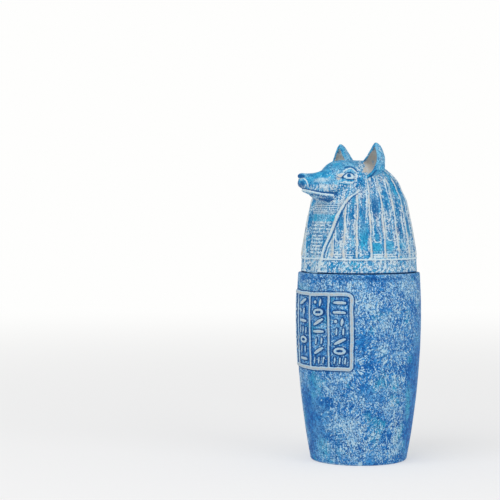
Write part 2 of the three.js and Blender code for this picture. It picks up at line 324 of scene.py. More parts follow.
def turned_form(name: str, section: Array, sweeps: tuple[tuple[float, float, int], ...]) -> bpy.types.Object:
    """Closed form turned from an outline whose two ends lie on the axis.

    Args:
        name: The piece's name.
        section: The outline's rows of radius and height, in millimetres.
        sweeps: Start angle from the front, end angle in degrees and number of steps of each part of the turn.

    Returns:
        The new object, with its faces pointing outwards.
    """
    deselect_all()
    bpy.ops.mesh.primitive_circle_add(vertices=len(section), radius=MM, fill_type="NOTHING")
    piece = bpy.context.object
    piece.name = name
    piece.data.name = name
    start = sweeps[0][0] * DEGREES
    radius, level = section[:, 0], section[:, 1]
    write_points(piece, np.stack([radius * math.sin(start), -radius * math.cos(start), level], axis=1) * MM)
    closing = {0, len(section) - 1}
    bpy.ops.object.mode_set(mode="EDIT")
    bpy.ops.mesh.select_mode(type="EDGE")
    bpy.ops.object.mode_set(mode="OBJECT")
    for edge in piece.data.edges:
        edge.select = set(edge.vertices) == closing
    bpy.ops.object.mode_set(mode="EDIT")
    bpy.ops.mesh.delete(type="EDGE")
    bpy.ops.mesh.select_all(action="SELECT")
    for low, high, steps in sweeps:
        bpy.ops.mesh.spin(steps=steps, angle=(low - high) * DEGREES, center=(0, 0, 0), axis=(0, 0, 1))
    bpy.ops.mesh.select_all(action="SELECT")
    bpy.ops.mesh.remove_doubles(threshold=0.02 * MM)
    bpy.ops.mesh.normals_make_consistent(inside=False)
    bpy.ops.object.mode_set(mode="OBJECT")
    return piece


def unevenness(points: Array, size: float) -> Array:
    """Smooth chance swelling of points in millimetres, about -1 to 1, in bumps about as wide as the size."""
    return np.array([noise.noise(Vector(point)) for point in points / size])


def chance(points: Array, size: float) -> Array:
    """Smooth chance share of points in millimetres, about 0 to 1, in patches about as wide as the size."""
    return 0.5 + 0.5 * unevenness(points, size)


def ribbing(level: Array, pitch: float) -> Array:
    """Even ribs one above another, from 0 in the grooves to 1 on the tops."""
    return 0.5 + 0.5 * np.cos(2 * math.pi * level / pitch)


def around(points: Array) -> tuple[Array, Array, Array]:
    """Angle from the front in radians, radius and height of points."""
    return np.arctan2(points[:, 0], -points[:, 1]), np.hypot(points[:, 0], points[:, 1]), points[:, 2]


def at_pole(share: Array) -> Array:
    """Whether each share of a swept form's length lies at one of its ends."""
    return (share < POLE) | (share > 1 - POLE)


@dataclass
class Carving:
    """Height and paint that carved forms give each point of a surface.

    The paint is kept as shares: rub is paint wiped back to the pale ground, and in the jackal's pupil a
    painted glint; pool is dark paint lying in a hollow, and in the seam at the lid's foot, under the jaw and
    beside the wig's ridges painted shade; tan is bare and stained, wear makes the brushed coat thinner, or
    thicker below 0, and teal turns it turquoise.
    """

    rise: Array
    rub: Array
    pool: Array
    tan: Array
    wear: Array
    teal: Array

    @classmethod
    def blank(cls, like: Array) -> "Carving":
        """Plain surface with no carving, one value for each entry of an array."""
        return cls(np.zeros_like(like), *[np.zeros_like(like) for _ in PAINT_SHARES])

    def add(self, share: Array, rise: float = 0.0, rub: float = 0.0, pool: float = 0.0, tan: float = 0.0,
            wear: float = 0.0, teal: float = 0.0) -> None:
        """Adds one form, which covers the paint of those before it.

        Args:
            share: How much of the form each point has, from 0 to 1.
            rise: Its height in millimetres, below 0 where it is cut in.
            rub: How far its paint is worn back to the pale ground; in the pupil this is a painted glint.
            pool: How much dark paint lies in it; in the seam, under the jaw and beside the wig's ridges this
                is painted shade.
            tan: How bare and stained it is.
            wear: How much thinner the coat is on it.
            teal: How turquoise the coat is on it.
        """
        self.rise = self.rise + share * rise
        self.wear = self.wear + share * wear
        self.teal = np.maximum(self.teal, share * teal)
        kept = 1 - share * max(rub, pool, tan)
        self.rub = self.rub * kept + share * rub
        self.pool = self.pool * kept + share * pool
        self.tan = self.tan * kept + share * tan

    def limit(self, share: Array) -> None:
        """Keeps the carving only as far as the share says."""
        for name in ("rise", *PAINT_SHARES):
            setattr(self, name, getattr(self, name) * share)

    def store(self, piece: bpy.types.Object) -> None:
        """Keeps the paint's shares on a piece as the attributes that its finish reads.

        Args:
            piece: The piece, with a vertex for each point of the carving.
        """
        for name in PAINT_SHARES:
            attribute = piece.data.attributes.new(name, "FLOAT", "POINT")
            attribute.data.foreach_set("value", np.clip(getattr(self, name), -1, 1).astype(np.float32))


@dataclass(frozen=True, kw_only=True)
class Form:
    """What a carved or brushed form gives the points in it: rise in millimetres and the paint's shares."""

    rise: float = 0.0
    rub: float = 0.0
    pool: float = 0.0
    tan: float = 0.0
    wear: float = 0.0
    teal: float = 0.0


@dataclass(frozen=True)
class Line(Form):
    """Carved line on a surface, in millimetres across and up."""

    points: Pairs
    half: float

    def share(self, u: Array, w: Array) -> Array:
        """How much of the line each point (u, w) has."""
        distance = line_distance(u, w, bent(self.points))
        return ramp(distance, self.half * 1.35, self.half * 0.35)


@dataclass(frozen=True)
class Spot(Form):
    """Oval form on a surface, in millimetres across and up, turned by degrees."""

    middle: tuple[float, float]
    radii: tuple[float, float]
    turn: float = 0.0
    soft: float = 0.5

    def share(self, u: Array, w: Array) -> Array:
        """How much of the spot each point has.

        Args:
            u: Place across of each point.
            w: Place up of each point.

        Returns:
            The share, from 0 outside to 1 well inside.
        """
        c, s = math.cos(self.turn * DEGREES), math.sin(self.turn * DEGREES)
        du, dw = u - self.middle[0], w - self.middle[1]
        across = (du * c + dw * s) / self.radii[0]
        up = (dw * c - du * s) / self.radii[1]
        return ramp(np.hypot(across, up), 1 + self.soft / 2, 1 - self.soft)


Forms = tuple[Line | Spot, ...]


def apply_forms(carving: Carving, forms: Forms, u: Array, w: Array, share: Array) -> None:
    """Adds lines and spots to a carving, in order, where the share lets them.

    Args:
        carving: What they are added to.
        forms: The lines and spots.
        u: Place across of each point.
        w: Place up of each point.
        share: How much of them each point takes.
    """
    for form in forms:
        carving.add(form.share(u, w) * share, form.rise, form.rub, form.pool, form.tan, form.wear, form.teal)


class Mark(Enum):
    """Plain strokes that stand in the panel's rows."""

    BAR = "bar"
    PAIR = "pair"
    TICKS = "ticks"
    SLANT = "slant"
    LENS = "lens"
    DOTS = "dots"


@dataclass
class JarBody:
    """Hollow body of the jar, with its raised panel of strokes. Sizes in millimetres."""

    height: float = 118.6
    belly_height: float = 92
    belly_radius: float = 39.4
    foot_radius: float = 30.4
    rim_radius: float = 38.5
    foot_edge: float = 1.8
    rim_edge: float = 0.7
    wall: float = 7.5
    floor: float = 9
    panel_turn: float = 4.2
    panel_low: float = 60.4
    panel_high: float = 106.3
    column_width: float = 15
    border_width: float = 2.6
    divider_width: float = 1.7
    frame_rise: float = 0.8
    stroke_rise: float = 0.7
    stroke_width: float = 1.6
    stroke_length: float = 8.6
    # Share of a row's height that its strokes fill, and the free share above the first and below the last row
    row_fill: float = 0.7
    row_margin: float = 0.15
    frame_corner: float = 2.6
    floor_fillet: float = 3
    swell: float = 0.16
    # Steps of the wall's outline and of its turn, fine at the panel and a little beyond it
    coarse_step: float = 1.3
    fine_step: float = 0.36
    margin_up: float = 4
    margin_degrees: float = 5
    step_degrees: float = 0.5
    back_steps: int = 120
    rows: tuple[tuple[Mark, ...], ...] = (
        (Mark.PAIR, Mark.BAR, Mark.SLANT, Mark.DOTS, Mark.LENS, Mark.BAR, Mark.TICKS),
        (Mark.SLANT, Mark.DOTS, Mark.BAR, Mark.TICKS, Mark.LENS, Mark.PAIR, Mark.BAR),
        (Mark.DOTS, Mark.LENS, Mark.SLANT, Mark.BAR, Mark.PAIR, Mark.SLANT, Mark.TICKS),
        (Mark.BAR, Mark.BAR, Mark.DOTS, Mark.PAIR, Mark.SLANT, Mark.LENS, Mark.TICKS),
    )
    # Chip, wiped bands and thick coats, placed along the wall from the front and up it
    forms: Forms = (
        Spot((50, 98), (16, 14), wear=0.2, soft=0.9),
        Spot((55, 96), (4, 4), wear=-0.6, soft=0.9),
        Spot((55, 59), (8, 7), wear=0.15, soft=0.9),
        Spot((46, 45), (10, 5), turn=-14, wear=-0.45, soft=0.9),
        Spot((39, 20), (15, 16), wear=0.22, soft=0.9),
        Spot((67, 23), (6, 14), wear=0.3, soft=0.9),
        Spot((47, 3), (5, 5), wear=-0.6, soft=0.9),
        Spot((0, 29), (14, 32), wear=-0.8, soft=0.9),
        Spot((88, 42), (15, 46), wear=-0.9, soft=0.5),
        Spot((40, 80), (7, 20), wear=-0.15, soft=0.9),
        Spot((8, 10), (8, 9), teal=0.8, soft=0.9),
        Spot((77, 38), (4, 15), turn=8, teal=0.9, wear=0.25, soft=0.9),
        Spot((62, 50), (5, 9), teal=0.6, soft=0.9),
        Spot((70, 19), (5, 9), turn=-20, teal=0.8, wear=0.2, soft=0.9),
        Spot((38, 116), (70, 1.6), pool=0.45, wear=-0.3, soft=0.8),
        Spot((38.8, 1.2), (1.7, 1.5), rise=-0.6, rub=1.0, tan=0.5),
    )

    def radius(self, height: Array) -> Array:
        """Outer radius of the wall.

        Args:
            height: Height of each place.

        Returns:
            The radius at each.
        """
        fall = np.clip((self.belly_height - height) / self.belly_height, 0, 1)
        rise = np.clip((height - self.belly_height) / (self.height - self.belly_height), 0, 1)
        foot = (self.belly_radius - self.foot_radius) * fall**1.95
        return self.belly_radius - foot - (self.belly_radius - self.rim_radius) * rise**2

    def section(self) -> Array:
        """Outline of the body, from the middle of its underside over the wall to the middle of its floor.

        Returns:
            Its rows of radius and height.
        """
        low, high = self.panel_low - self.margin_up, self.panel_high + self.margin_up
        levels = np.concatenate([
            np.arange(self.foot_edge, low, self.coarse_step),
            np.arange(low, high, self.fine_step),
            np.linspace(high, self.height - self.rim_edge, 8),
        ])
        rows = [(r, 0) for r in np.linspace(0, self.foot_radius - self.foot_edge, 8)]
        for turn in np.linspace(15, 75, 4) * DEGREES:
            edge = self.radius(self.foot_edge) - self.foot_edge * (1 - math.sin(turn))
            rows.append((edge, self.foot_edge * (1 - math.cos(turn))))
        rows += [(float(self.radius(level)), level) for level in levels]
        rim_out, rim_in = self.rim_radius, self.rim_radius - self.wall
        rounding = self.rim_edge * EDGE_MIDDLE
        rows += [(rim_out - rounding, self.height - rounding)]
        rows += [(r, self.height) for r in np.linspace(rim_out - self.rim_edge, rim_in + self.rim_edge, 4)]
        inner = np.linspace(self.height - self.rim_edge, self.floor + self.floor_fillet, 20)
        rows += [(float(self.radius(level)) - self.wall, level) for level in inner]
        floor_radius = float(self.radius(self.floor)) - self.wall
        rounding = self.floor_fillet * EDGE_MIDDLE
        rows += [(floor_radius - rounding, self.floor + rounding)]
        rows += [(r, self.floor) for r in np.linspace(floor_radius - self.floor_fillet, 0, 6)]
        return np.array(rows, dtype=float)

    def stroke_depth(self, mark: Mark, u: Array, w: Array, row_height: float) -> Array:
        """Depth inside a row's strokes, in millimetres, below 0 outside them.

        Args:
            mark: Which strokes the row holds.
            u: Place along the wall from the row's middle.
            w: Place up from the row's middle.
            row_height: Height of the row.

        Returns:
            The depth of each point.
        """
        half = self.stroke_width / 2
        tall = row_height * self.row_fill / 2 - half
        reach = self.stroke_length / 2 - half

        def stroke(u0: float, w0: float, u1: float, w1: float, swell: float, thick: float = 1.0) -> Array:
            """Depth inside one stroke.

            Args:
                u0: Place across of its start.
                w0: Place up of its start.
                u1: Place across of its end.
                w1: Place up of its end.
                swell: How much thicker it is in its middle, as a share.
                thick: Its thickness at the ends, as a share of the usual width.

            Returns:
                The depth of each point.
            """
            du, dw = u1 - u0, w1 - w0
            along = np.clip(((u - u0) * du + (w - w0) * dw) / (du**2 + dw**2), 0, 1)
            distance = line_distance(u, w, np.array([[u0, w0], [u1, w1]]))
            return half * thick * (1 + swell * np.sin(along * math.pi)) - distance

        if mark is Mark.BAR:
            return stroke(-reach, 0.1, reach, -0.1, swell=0.25, thick=1.05)
        if mark is Mark.PAIR:
            x, top = reach * 0.6, tall + 0.3
            left = stroke(-x - 0.2, -top, -x + 0.2, top, swell=0.2, thick=0.8)
            return np.maximum(left, stroke(x, -top, x + 0.3, top, swell=0.2, thick=0.8))
        if mark is Mark.TICKS:
            top = tall + 0.4
            posts = [stroke(x - 0.2, -top, x + 0.25, top, swell=0.15, thick=0.72) for x in (-reach, 0, reach)]
            return np.maximum.reduce(posts)
        if mark is Mark.SLANT:
            lift = reach * math.tan(math.pi / 7) * 0.9
            return stroke(-reach * 0.9, -lift, reach * 0.9, lift, swell=0.45)
        if mark is Mark.LENS:
            wide, high = self.stroke_length / 2, row_height * 0.4
            oval = (1 - np.hypot(u / wide, w / high)) * high
            hollow = (1 - np.hypot(u / (wide * 0.55), w / (high * 0.38))) * high * 0.5
            return np.minimum(oval, 0.25 - hollow)
        top = tall + 0.6
        dot = half * 1.45 - np.hypot(u + reach * 0.75, w - 0.4)
        return np.maximum(dot, stroke(reach * 0.35, -top, reach * 0.5, top, swell=0.75, thick=0.75))

    def on_panel(self, angle: Array, height: Array) -> tuple[Array, Array]:
        """Places on the panel, a little wavy as in carving by hand.

        Args:
            angle: Angle of each point in degrees from the front.
            height: Height of each point.

        Returns:
            Its place across from the panel's middle and its place up.
        """
        u = (angle - self.panel_turn) * DEGREES * self.belly_radius
        u = u + 0.14 * np.sin(height / 4.7) + 0.07 * np.sin(height / 1.9 + 1)
        return u, height + 0.25 * np.sin(u / 6.1 + 1.4) + 0.1 * np.sin(u / 2.2)

    def frame_depth(self, u: Array, w: Array) -> tuple[Array, Array]:
        """Depth inside the bars of the panel's frame.

        Args:
            u: Place across of each point.
            w: Place up of each point.

        Returns:
            The depth, below 0 outside the bars, and the distance outwards from the border's middle line.
        """
        half = len(self.rows) * self.column_width / 2
        middle, tall = (self.panel_low + self.panel_high) / 2, (self.panel_high - self.panel_low) / 2
        over_u, over_w = np.abs(u) - half, np.abs(w - middle) - tall
        out_u, out_w = np.maximum(over_u + self.frame_corner, 0), np.maximum(over_w + self.frame_corner, 0)
        rounded = np.hypot(out_u, out_w) - self.frame_corner
        edge = np.where((out_u > 0) & (out_w > 0), rounded, np.maximum(over_u, over_w))
        depth = self.border_width / 2 - np.abs(edge)
        for i in range(1, len(self.rows)):
            post = self.divider_width / 2 - np.abs(u - (i * self.column_width - half))
            depth = np.maximum(depth, np.where(edge < 0, post, OUTSIDE))
        return depth, edge

    def marks_depth(self, u: Array, w: Array) -> Array:
        """Depth inside the strokes of all rows, below 0 outside them.

        Args:
            u: Place across of each point.
            w: Place up of each point.

        Returns:
            The depth of each point.
        """
        half = len(self.rows) * self.column_width / 2
        tall = self.panel_high - self.panel_low - self.border_width
        row_height = tall / (len(self.rows[0]) + 2 * self.row_margin)
        depth = np.full(u.shape, OUTSIDE)
        for i, marks in enumerate(self.rows):
            for j, mark in enumerate(marks):
                level = self.panel_high - self.border_width / 2 - row_height * (j + 0.5 + self.row_margin)
                across = (i + 0.5) * self.column_width - half
                near = (np.abs(u - across) < self.column_width / 2) & (np.abs(w - level) < row_height * 0.75)
                found = self.stroke_depth(mark, u[near] - across, w[near] - level, row_height)
                depth[near] = np.maximum(depth[near], found)
        return depth

    def panel(self, angle: Array, height: Array) -> Carving:
        """Carves the panel's frame, columns and strokes.

        Args:
            angle: Angle of each point in degrees from the front.
            height: Height of each point.

        Returns:
            Its height from the plain wall and its paint.
        """
        carving = Carving.blank(height)
        u, w = self.on_panel(angle, height)
        depth, edge = self.frame_depth(u, w)
        strokes = self.marks_depth(u, w)
        raised = ramp(depth, -0.3, 0.7)
        carving.add(ramp(edge, 0.4, -0.4), pool=0.08, wear=-0.24)
        carving.add(raised, rise=self.frame_rise)
        carving.add(ramp(strokes, -0.3, 0.4) * (1 - raised), rise=self.stroke_rise)
        best = np.maximum(depth, strokes)
        carving.add(ramp(best, -0.95, -0.45), pool=0.72)
        carving.add(ramp(best, 0.02, 0.38), rub=1.0)
        carving.add(ramp(best, 0.3, 0.7), rub=1.0, tan=0.64)
        return carving

    def wall_edges(self, carving: Carving, radius: Array, level: Array) -> None:
        """Rubs the paint at the rim and the foot and paints shade on the inner part of the rim's top, in the
        seam under the lid.

        Args:
            carving: What the edges are added to.
            radius: Radius of each point.
            level: Height of each point.
        """
        rim = ramp(np.abs(level - self.height + self.rim_edge), 1.1, 0.1) * 0.5
        foot = ramp(np.abs(level - self.foot_edge * 0.5), 1.4, 0.2)
        carving.add(np.maximum(rim, foot), rub=0.35)
        # Painted shade: the inner part of the rim's top is darkened in the seam under the lid
        seam_shade = ramp(level, self.height - 1.5, self.height - 0.4)
        carving.add(seam_shade * ramp(radius, self.rim_radius - 0.7, self.rim_radius - 1.3), pool=0.9)

    def build(self, finish: "RubbedPaint") -> bpy.types.Object:
        """Makes the body and dresses it.

        Args:
            finish: Its paint.

        Returns:
            The finished piece.
        """
        reach = len(self.rows) / 2 * self.column_width / (self.belly_radius * DEGREES) + self.margin_degrees
        left, right = self.panel_turn - reach, self.panel_turn + reach
        front_steps = round((right - left) / self.step_degrees)
        sweeps = ((left, right, front_steps), (right, left + 360, self.back_steps))
        piece = turned_form("jar_body", self.section(), sweeps)
        points = read_points(piece) / MM
        angle, radius, level = around(points)
        outer = ramp(self.radius(level) - radius, self.wall * 0.4, self.foot_edge)
        carving = self.panel(angle / DEGREES, level)
        apply_forms(carving, self.forms, angle * self.belly_radius, level, np.ones_like(level))
        self.wall_edges(carving, radius, level)
        for size, depth, fade in ((11, self.swell, 4), (2.2, self.swell * 0.5, 2)):
            carving.rise = carving.rise - depth * chance(points, size) * ramp(level, 0, fade)
        points[:, :2] *= ((radius + carving.rise * outer) / np.maximum(radius, 1e-6))[:, None]
        write_points(piece, points * MM)
        carving.store(piece)
        finish.dress(piece)
        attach(piece, "root")
        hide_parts("jar")
        return piece


@dataclass
class JackalLid:
    """Lift-off lid: wig, collar, plug and the jackal's head. Sizes in millimetres above its underside."""

    base: float = 118.9
    radius: float = 36.7
    height: float = 70.3
    edge: float = 0.8
    plug_radius: float = 30.4
    plug_depth: float = 8
    band_height: float = 9.3
    band_rise: float = 0.5
    lappet_step: float = 2.4
    rib_pitch: float = 2.1
    rib_depth: float = 0.6
    first_lock: float = 27
    lock_step: float = 11.6
    lock_widening: float = 0.47
    lock_ridge: float = 1.3
    lock_rise: float = 0.8
    locks: int = 10
    snout_reach: float = 45
    head_width: float = 38
    ear_rise: float = 10.8
    ear_wall: float = 1.7
    voxel: float = 0.575
    # Top of the chest's ribs, span of the fine strings above them, and pitch of the strings
    ribs_top: float = 32.6
    strings: tuple[float, float] = (36, 44)
    string_pitch: float = 1.35
    # Start of the tongue in each lock, its corner, and pitch and top of the short lines below it
    tongue_end: float = 20.2
    tongue_corner: float = 2.6
    line_pitch: float = 1.5
    lines_top: float = 15.4
    # Width and top of the border along the lappets, and the thin lines' distances beside it
    border_width: float = 2.7
    border_top: float = 54
    thin_lines: tuple[float, ...] = (4.3, 6.4)
    # Foot and top of the bare head, the face's top, how far back each reaches, and the ears' start
    head_low: float = 43
    head_top: float = 72
    face_top: float = 70
    head_back: float = -4
    face_back: float = 2
    ear_side: float = 17
    ear_low: float = 57
    # Azimuth that the face's forms are placed from, in degrees
    seen_from: float = 54
    wig_profile: Pairs = (
        (0, 1), (0.13, 0.985), (0.285, 0.943), (0.47, 0.876), (0.64, 0.8),
        (0.735, 0.718), (0.78, 0.685), (0.87, 0.562), (0.91, 0.481), (0.953, 0.351), (1, 0),
    )
    lappet_line: Pairs = (
        (-0.03, 8.7), (0.13, 12.3), (0.225, 14.6), (0.33, 19.8), (0.52, 27.6),
        (0.655, 38), (0.745, 54), (0.83, 61),
    )
    # Reach, top, low, brow and cheek of the skull's sections, and of the jaw's, as shares of the head's sizes
    skull: Rows = (
        (1, 0.845, 0.79, 0.03, 0.04),
        (0.968, 0.868, 0.762, 0.19, 0.2),
        (0.915, 0.878, 0.738, 0.235, 0.27),
        (0.8, 0.881, 0.715, 0.265, 0.34),
        (0.67, 0.896, 0.696, 0.33, 0.45),
        (0.575, 0.92, 0.688, 0.43, 0.57),
        (0.49, 0.958, 0.678, 0.6, 0.75),
        (0.405, 0.99, 0.668, 0.69, 0.9),
        (0.28, 1.0, 0.66, 0.74, 1),
        (0.1, 1.0, 0.66, 0.7, 0.96),
        (-0.05, 0.97, 0.7, 0.3, 0.4),
    )
    jaw: Rows = (
        (0.96, 0.75, 0.735, 0.04, 0.05),
        (0.93, 0.76, 0.715, 0.17, 0.16),
        (0.84, 0.75, 0.688, 0.26, 0.22),
        (0.73, 0.74, 0.65, 0.35, 0.3),
        (0.62, 0.73, 0.608, 0.47, 0.4),
        (0.5, 0.73, 0.592, 0.68, 0.56),
        (0.36, 0.73, 0.604, 0.88, 0.78),
        (0.15, 0.73, 0.64, 0.6, 0.5),
    )
    # Height, inner rim, outer rim, rim's place forward and depth behind it of the ear's sections
    ear: Rows = (
        (0.815, 0.2, 0.5, 0.27, 0.3),
        (0.85, 0.2, 0.59, 0.235, 0.35),
        (0.9, 0.2, 0.665, 0.165, 0.34),
        (0.965, 0.205, 0.682, 0.115, 0.29),
        (1.02, 0.285, 0.665, 0.075, 0.235),
        (1.07, 0.37, 0.63, 0.06, 0.18),
        (1.12, 0.445, 0.585, 0.045, 0.11),
        (1.15, 0.5, 0.53, 0.03, 0.02),
    )
    # Lines and spots of the face's side, placed across and up as seen from the photograph's side
    face: Forms = (
        Spot((-21.5, 62.8), (8.5, 2.2), turn=20, wear=-0.5, teal=0.5, soft=0.8),
        Spot((-23.0, 57.6), (9.5, 2.6), turn=4, rub=0.6, wear=-0.4, teal=0.7, soft=0.9),
        Spot((-15.0, 53.0), (5, 2.5), turn=-14, wear=0.3, soft=0.9),
        Spot((-12.1, 66), (4.5, 2.2), wear=-0.6, pool=0.35, soft=0.8),
        Spot((-1.6, 67.8), (4.5, 1.3), rub=0.45, soft=0.8),
        Spot((-21.4, 53.2), (4.6, 1.9), turn=-22, rub=0.72, tan=0.2, soft=0.8),
        # Painted shade along the underside of the jaw, against the chest
        Spot((-19.5, 45.2), (9.5, 1.9), turn=-8, pool=0.7, soft=0.8),
        Spot((-7.0, 60.0), (7.5, 3.9), turn=-6, rub=0.5, soft=0.6),
        Line(((-11.9, 56.2), (-8.0, 55.7), (-4.0, 55.4), (0.2, 56.4)), 0.45, rise=0.15, rub=0.8),
        Line(((-12.5, 55.2), (-8.0, 54.6), (-4.0, 54.4), (0.0, 55.2)), 0.35, rise=-0.15, pool=0.6),
        Spot((-5.8, 59.8), (3.9, 2.1), turn=-6, rise=0.5, rub=0.55, soft=0.4),
        Spot((-11.6, 60.2), (3.0, 1.7), turn=8, rub=0.7, tan=0.7),
        Spot((-12.6, 58.4), (1.8, 1.0), tan=0.8),
        Line(((-13.8, 59.6), (-11.6, 59.2), (-9.8, 59.2)), 0.3, rise=-0.2, pool=0.6),
        Line(((-10.4, 59.2), (-9.2, 60.7), (-7.7, 61.9), (-5.8, 62.3),
              (-3.8, 61.4), (-2.2, 59.8), (-1.0, 58.0)), 0.5, rise=-0.45, pool=1.0),
        Line(((-10.4, 59.1), (-8.0, 58.1), (-5.8, 57.7), (-3.7, 57.7), (-1.2, 58.0)),
             0.36, rise=-0.35, pool=0.95),
        Line(((-9.6, 62.8), (-7.5, 64.1), (-5.4, 64.6),
              (-3.3, 63.8), (-1.5, 61.7), (-0.5, 59.5), (0.0, 57.6)), 0.6, rise=0.4, rub=0.65, tan=0.25),
        Line(((-8.4, 65.6), (-5.0, 66.0), (-2.3, 64.2), (-0.5, 61.7), (0.5, 58.9), (0.7, 57.4)),
             0.5, rise=-0.45, pool=1.0),
        Line(((-2.0, 65.6), (0.3, 63.3), (1.6, 60.8), (2.0, 58.3)), 0.4, rise=0.2, rub=0.8),
        Line(((2.6, 60.6), (3.6, 62.6), (4.8, 65.0), (6.4, 67.4)), 2.3, rise=-0.5, rub=0.8, tan=0.95),
        Line(((2.0, 57.7), (5.2, 58.8), (8.2, 60.8), (10.4, 63.6)), 0.7, rise=0.2, pool=0.75),
        Line(((-9.3, 56.7), (-5.1, 56.2), (-0.9, 57.1)), 0.4, rise=0.2, rub=0.9),
        Spot((-6.2, 60.3), (1.35, 1.15), rise=-0.2, pool=1.0, soft=0.35),
        # Painted glint: a small pale dot in the dark pupil
        Spot((-6.4, 60.5), (0.4, 0.35), rub=0.5, soft=0.4),
        Spot((-6.5, 49.1), (2.4, 2.4), pool=0.8, soft=0.8),
        Line(((-36.4, 52.6), (-33.2, 51.9), (-29, 51.2), (-23.4, 50.2), (-17.7, 49.8), (-12, 49.6)),
             0.55, rise=-0.55, pool=1.0),
        Line(((-35.6, 51.6), (-32.5, 50.9), (-27.6, 49.9), (-22, 49.0), (-15.9, 48.2)),
             0.7, rise=0.35, rub=1.0),
        Line(((-30, 48.6), (-24, 47.6), (-17, 46.9), (-12, 47.2)), 0.4, rise=-0.3, pool=0.7, tan=0.4),
        Spot((-11.0, 48.9), (4.8, 1.8), turn=2, rise=-0.2, pool=0.95, soft=0.6),
        Spot((-34.6, 55.0), (2.0, 3.0), turn=12, rise=0.5, pool=0.62, soft=0.6),
        Line(((-37.2, 57.8), (-34.9, 58.6), (-32.7, 57.7), (-31.6, 55.4), (-31.2, 53.0)),
             0.42, rise=-0.3, rub=0.9),
        Spot((-35.9, 60.0), (3.2, 1.5), turn=-6, pool=0.85),
        Line(((-9.2, 45.6), (-3.5, 49.3), (1.2, 52.7), (3.0, 56.4), (4.6, 58.4)), 1.2, rise=0.35, rub=0.75),
        Line(((-10.6, 44.6), (-6.0, 48.6), (-1.4, 51.9), (0.6, 55.6), (2.0, 58.3)),
             0.45, rise=-0.4, pool=0.9),
    )
    # Wiped and thickly coated patches of the wig, placed along it from the front and up it
    patches: Forms = (
        Spot((37.5, 23), (3.6, 9), wear=-1.2, teal=1.0, soft=0.6),
        Spot((46.5, 16), (4.6, 4.4), wear=-1.0, teal=1.0, soft=0.6),
        Spot((46.5, 11), (4.4, 1.6), rub=0.85, tan=0.2),
        Spot((56, 17), (4, 4.5), wear=-0.9, teal=0.8, soft=0.7),
        Spot((74, 50), (8, 10), wear=-0.6, teal=0.9, soft=0.8),
        Spot((30, 5), (9, 4), teal=0.8, soft=0.8),
        Spot((62, 40), (5, 8), teal=0.6, soft=0.8),
        Spot((64.5, 20), (3.4, 4.5), rub=0.5, soft=0.8),
        Spot((64.5, 27), (3, 3.5), pool=0.5, soft=0.8),
        Spot((17.5, 19), (4.2, 11), turn=-10, rub=0.6, tan=0.5, soft=0.8),
        Spot((26, 26), (2.6, 12), rub=0.5, tan=0.12, soft=0.9),
        Spot((22, 11.5), (9, 1.8), rub=0.7, tan=0.6, soft=0.8),
        Spot((54, 10.8), (9, 1.5), rub=0.6, tan=0.6, soft=0.8),
        Spot((54, 37), (3.2, 7), rub=0.42, soft=0.9),
        Spot((40, 45), (8, 3), rub=0.4, tan=0.2, soft=0.9),
        Spot((80, 24), (9, 26), rub=0.35, tan=0.2, soft=0.9),
        Spot((46, 40), (4, 7), pool=0.4, soft=0.9),
    )

    def wig_radius(self, level: Array) -> Array:
        """Radius of the wig without its locks at a height."""
        squares = tuple((up, out**2) for up, out in self.wig_profile)
        return self.radius * np.sqrt(np.clip(smooth(squares, level / self.height), 0, None))

    def lappet_edge(self, level: Array) -> Array:
        """Angle of the lappets' inner edges at a height."""
        return smooth(self.lappet_line, level / self.height)

    def lock_angle(self, index: Array | float) -> Array | float:
        """Middle angle of a lock's ridge."""
        return self.first_lock + self.lock_step * index + self.lock_widening * index**2

    def chest(self, carving: Carving, level: Array, depth_in: Array) -> None:
        """Carves the chest between the lappets.

        Args:
            carving: What the chest's forms are added to.
            level: Height of each point.
            depth_in: How far each point lies inside the lappets' edges, in millimetres.
        """
        inside = ramp(depth_in, -0.35, 0.35)
        top = ramp(level, 0.86 * self.height, 0.8 * self.height)
        carving.add(inside * top, rise=-self.lappet_step)
        margin = ramp(depth_in, 0.8, 2.2) * top
        foot = ramp(level, self.band_height + 0.6, self.band_height + 1.6)
        ribs = foot * ramp(level, self.ribs_top, self.ribs_top - 1)
        wave = ribbing(level, self.rib_pitch)
        worn = 0.62 + 0.38 * np.sin(level / 1.7 + 0.6) * np.sin(depth_in / 1.3 + level / 2.9)
        carving.add(margin * ribs * wave, rise=self.rib_depth)
        carving.add(margin * ribs * ramp(wave, 0.3, 0.8) * worn, rub=0.95, tan=0.15)
        carving.add(margin * ribs * ramp(wave, 0.35, 0.1), pool=0.55, teal=0.5)
        low, high = self.strings
        strings = ramp(level, low, low + 0.8) * ramp(level, high, high - 1)
        fine = ribbing(level, self.string_pitch)
        carving.add(margin * strings * fine, rise=0.35, rub=0.9, tan=0.2)
        carving.add(margin * strings * (1 - fine), pool=0.55)
        step = ramp(depth_in, -0.4, 0.0) * ramp(level, self.band_height - 1, self.band_height) * top
        carving.add(step * ramp(depth_in, 0.5, 0.3), pool=0.3)
        carving.add(step * ramp(depth_in, 0.3, 0.5) * ramp(depth_in, 1.0, 0.7), pool=0.75)
        plain = ramp(level, self.ribs_top - 1.4, self.ribs_top + 0.2) * ramp(level, low + 1.2, low - 0.4)
        carving.add(inside * plain, wear=-0.9, teal=1.0)

    def streaked(self, angle: Array, level: Array) -> Array:
        """Wear of the coat in brush streaks, which run down the wig and aslant along its band.

        Args:
            angle: Angle of each point in degrees from the front.
            level: Height of each point.

        Returns:
            The wear of each point.
        """
        flat = np.zeros_like(level)
        down = unevenness(np.stack([angle / 2.2, level / 13, flat], axis=1), 1.0)
        slanted = [angle * 0.5 - level * 0.45, angle * 0.13 + level * 0.3, flat]
        aslant = unevenness(np.stack(slanted, axis=1), 1.0)
        on_band = ramp(level, self.band_height + 1, self.band_height)
        return down * 1.2 * (1 - on_band) + (aslant * 1.3 + 0.05) * on_band

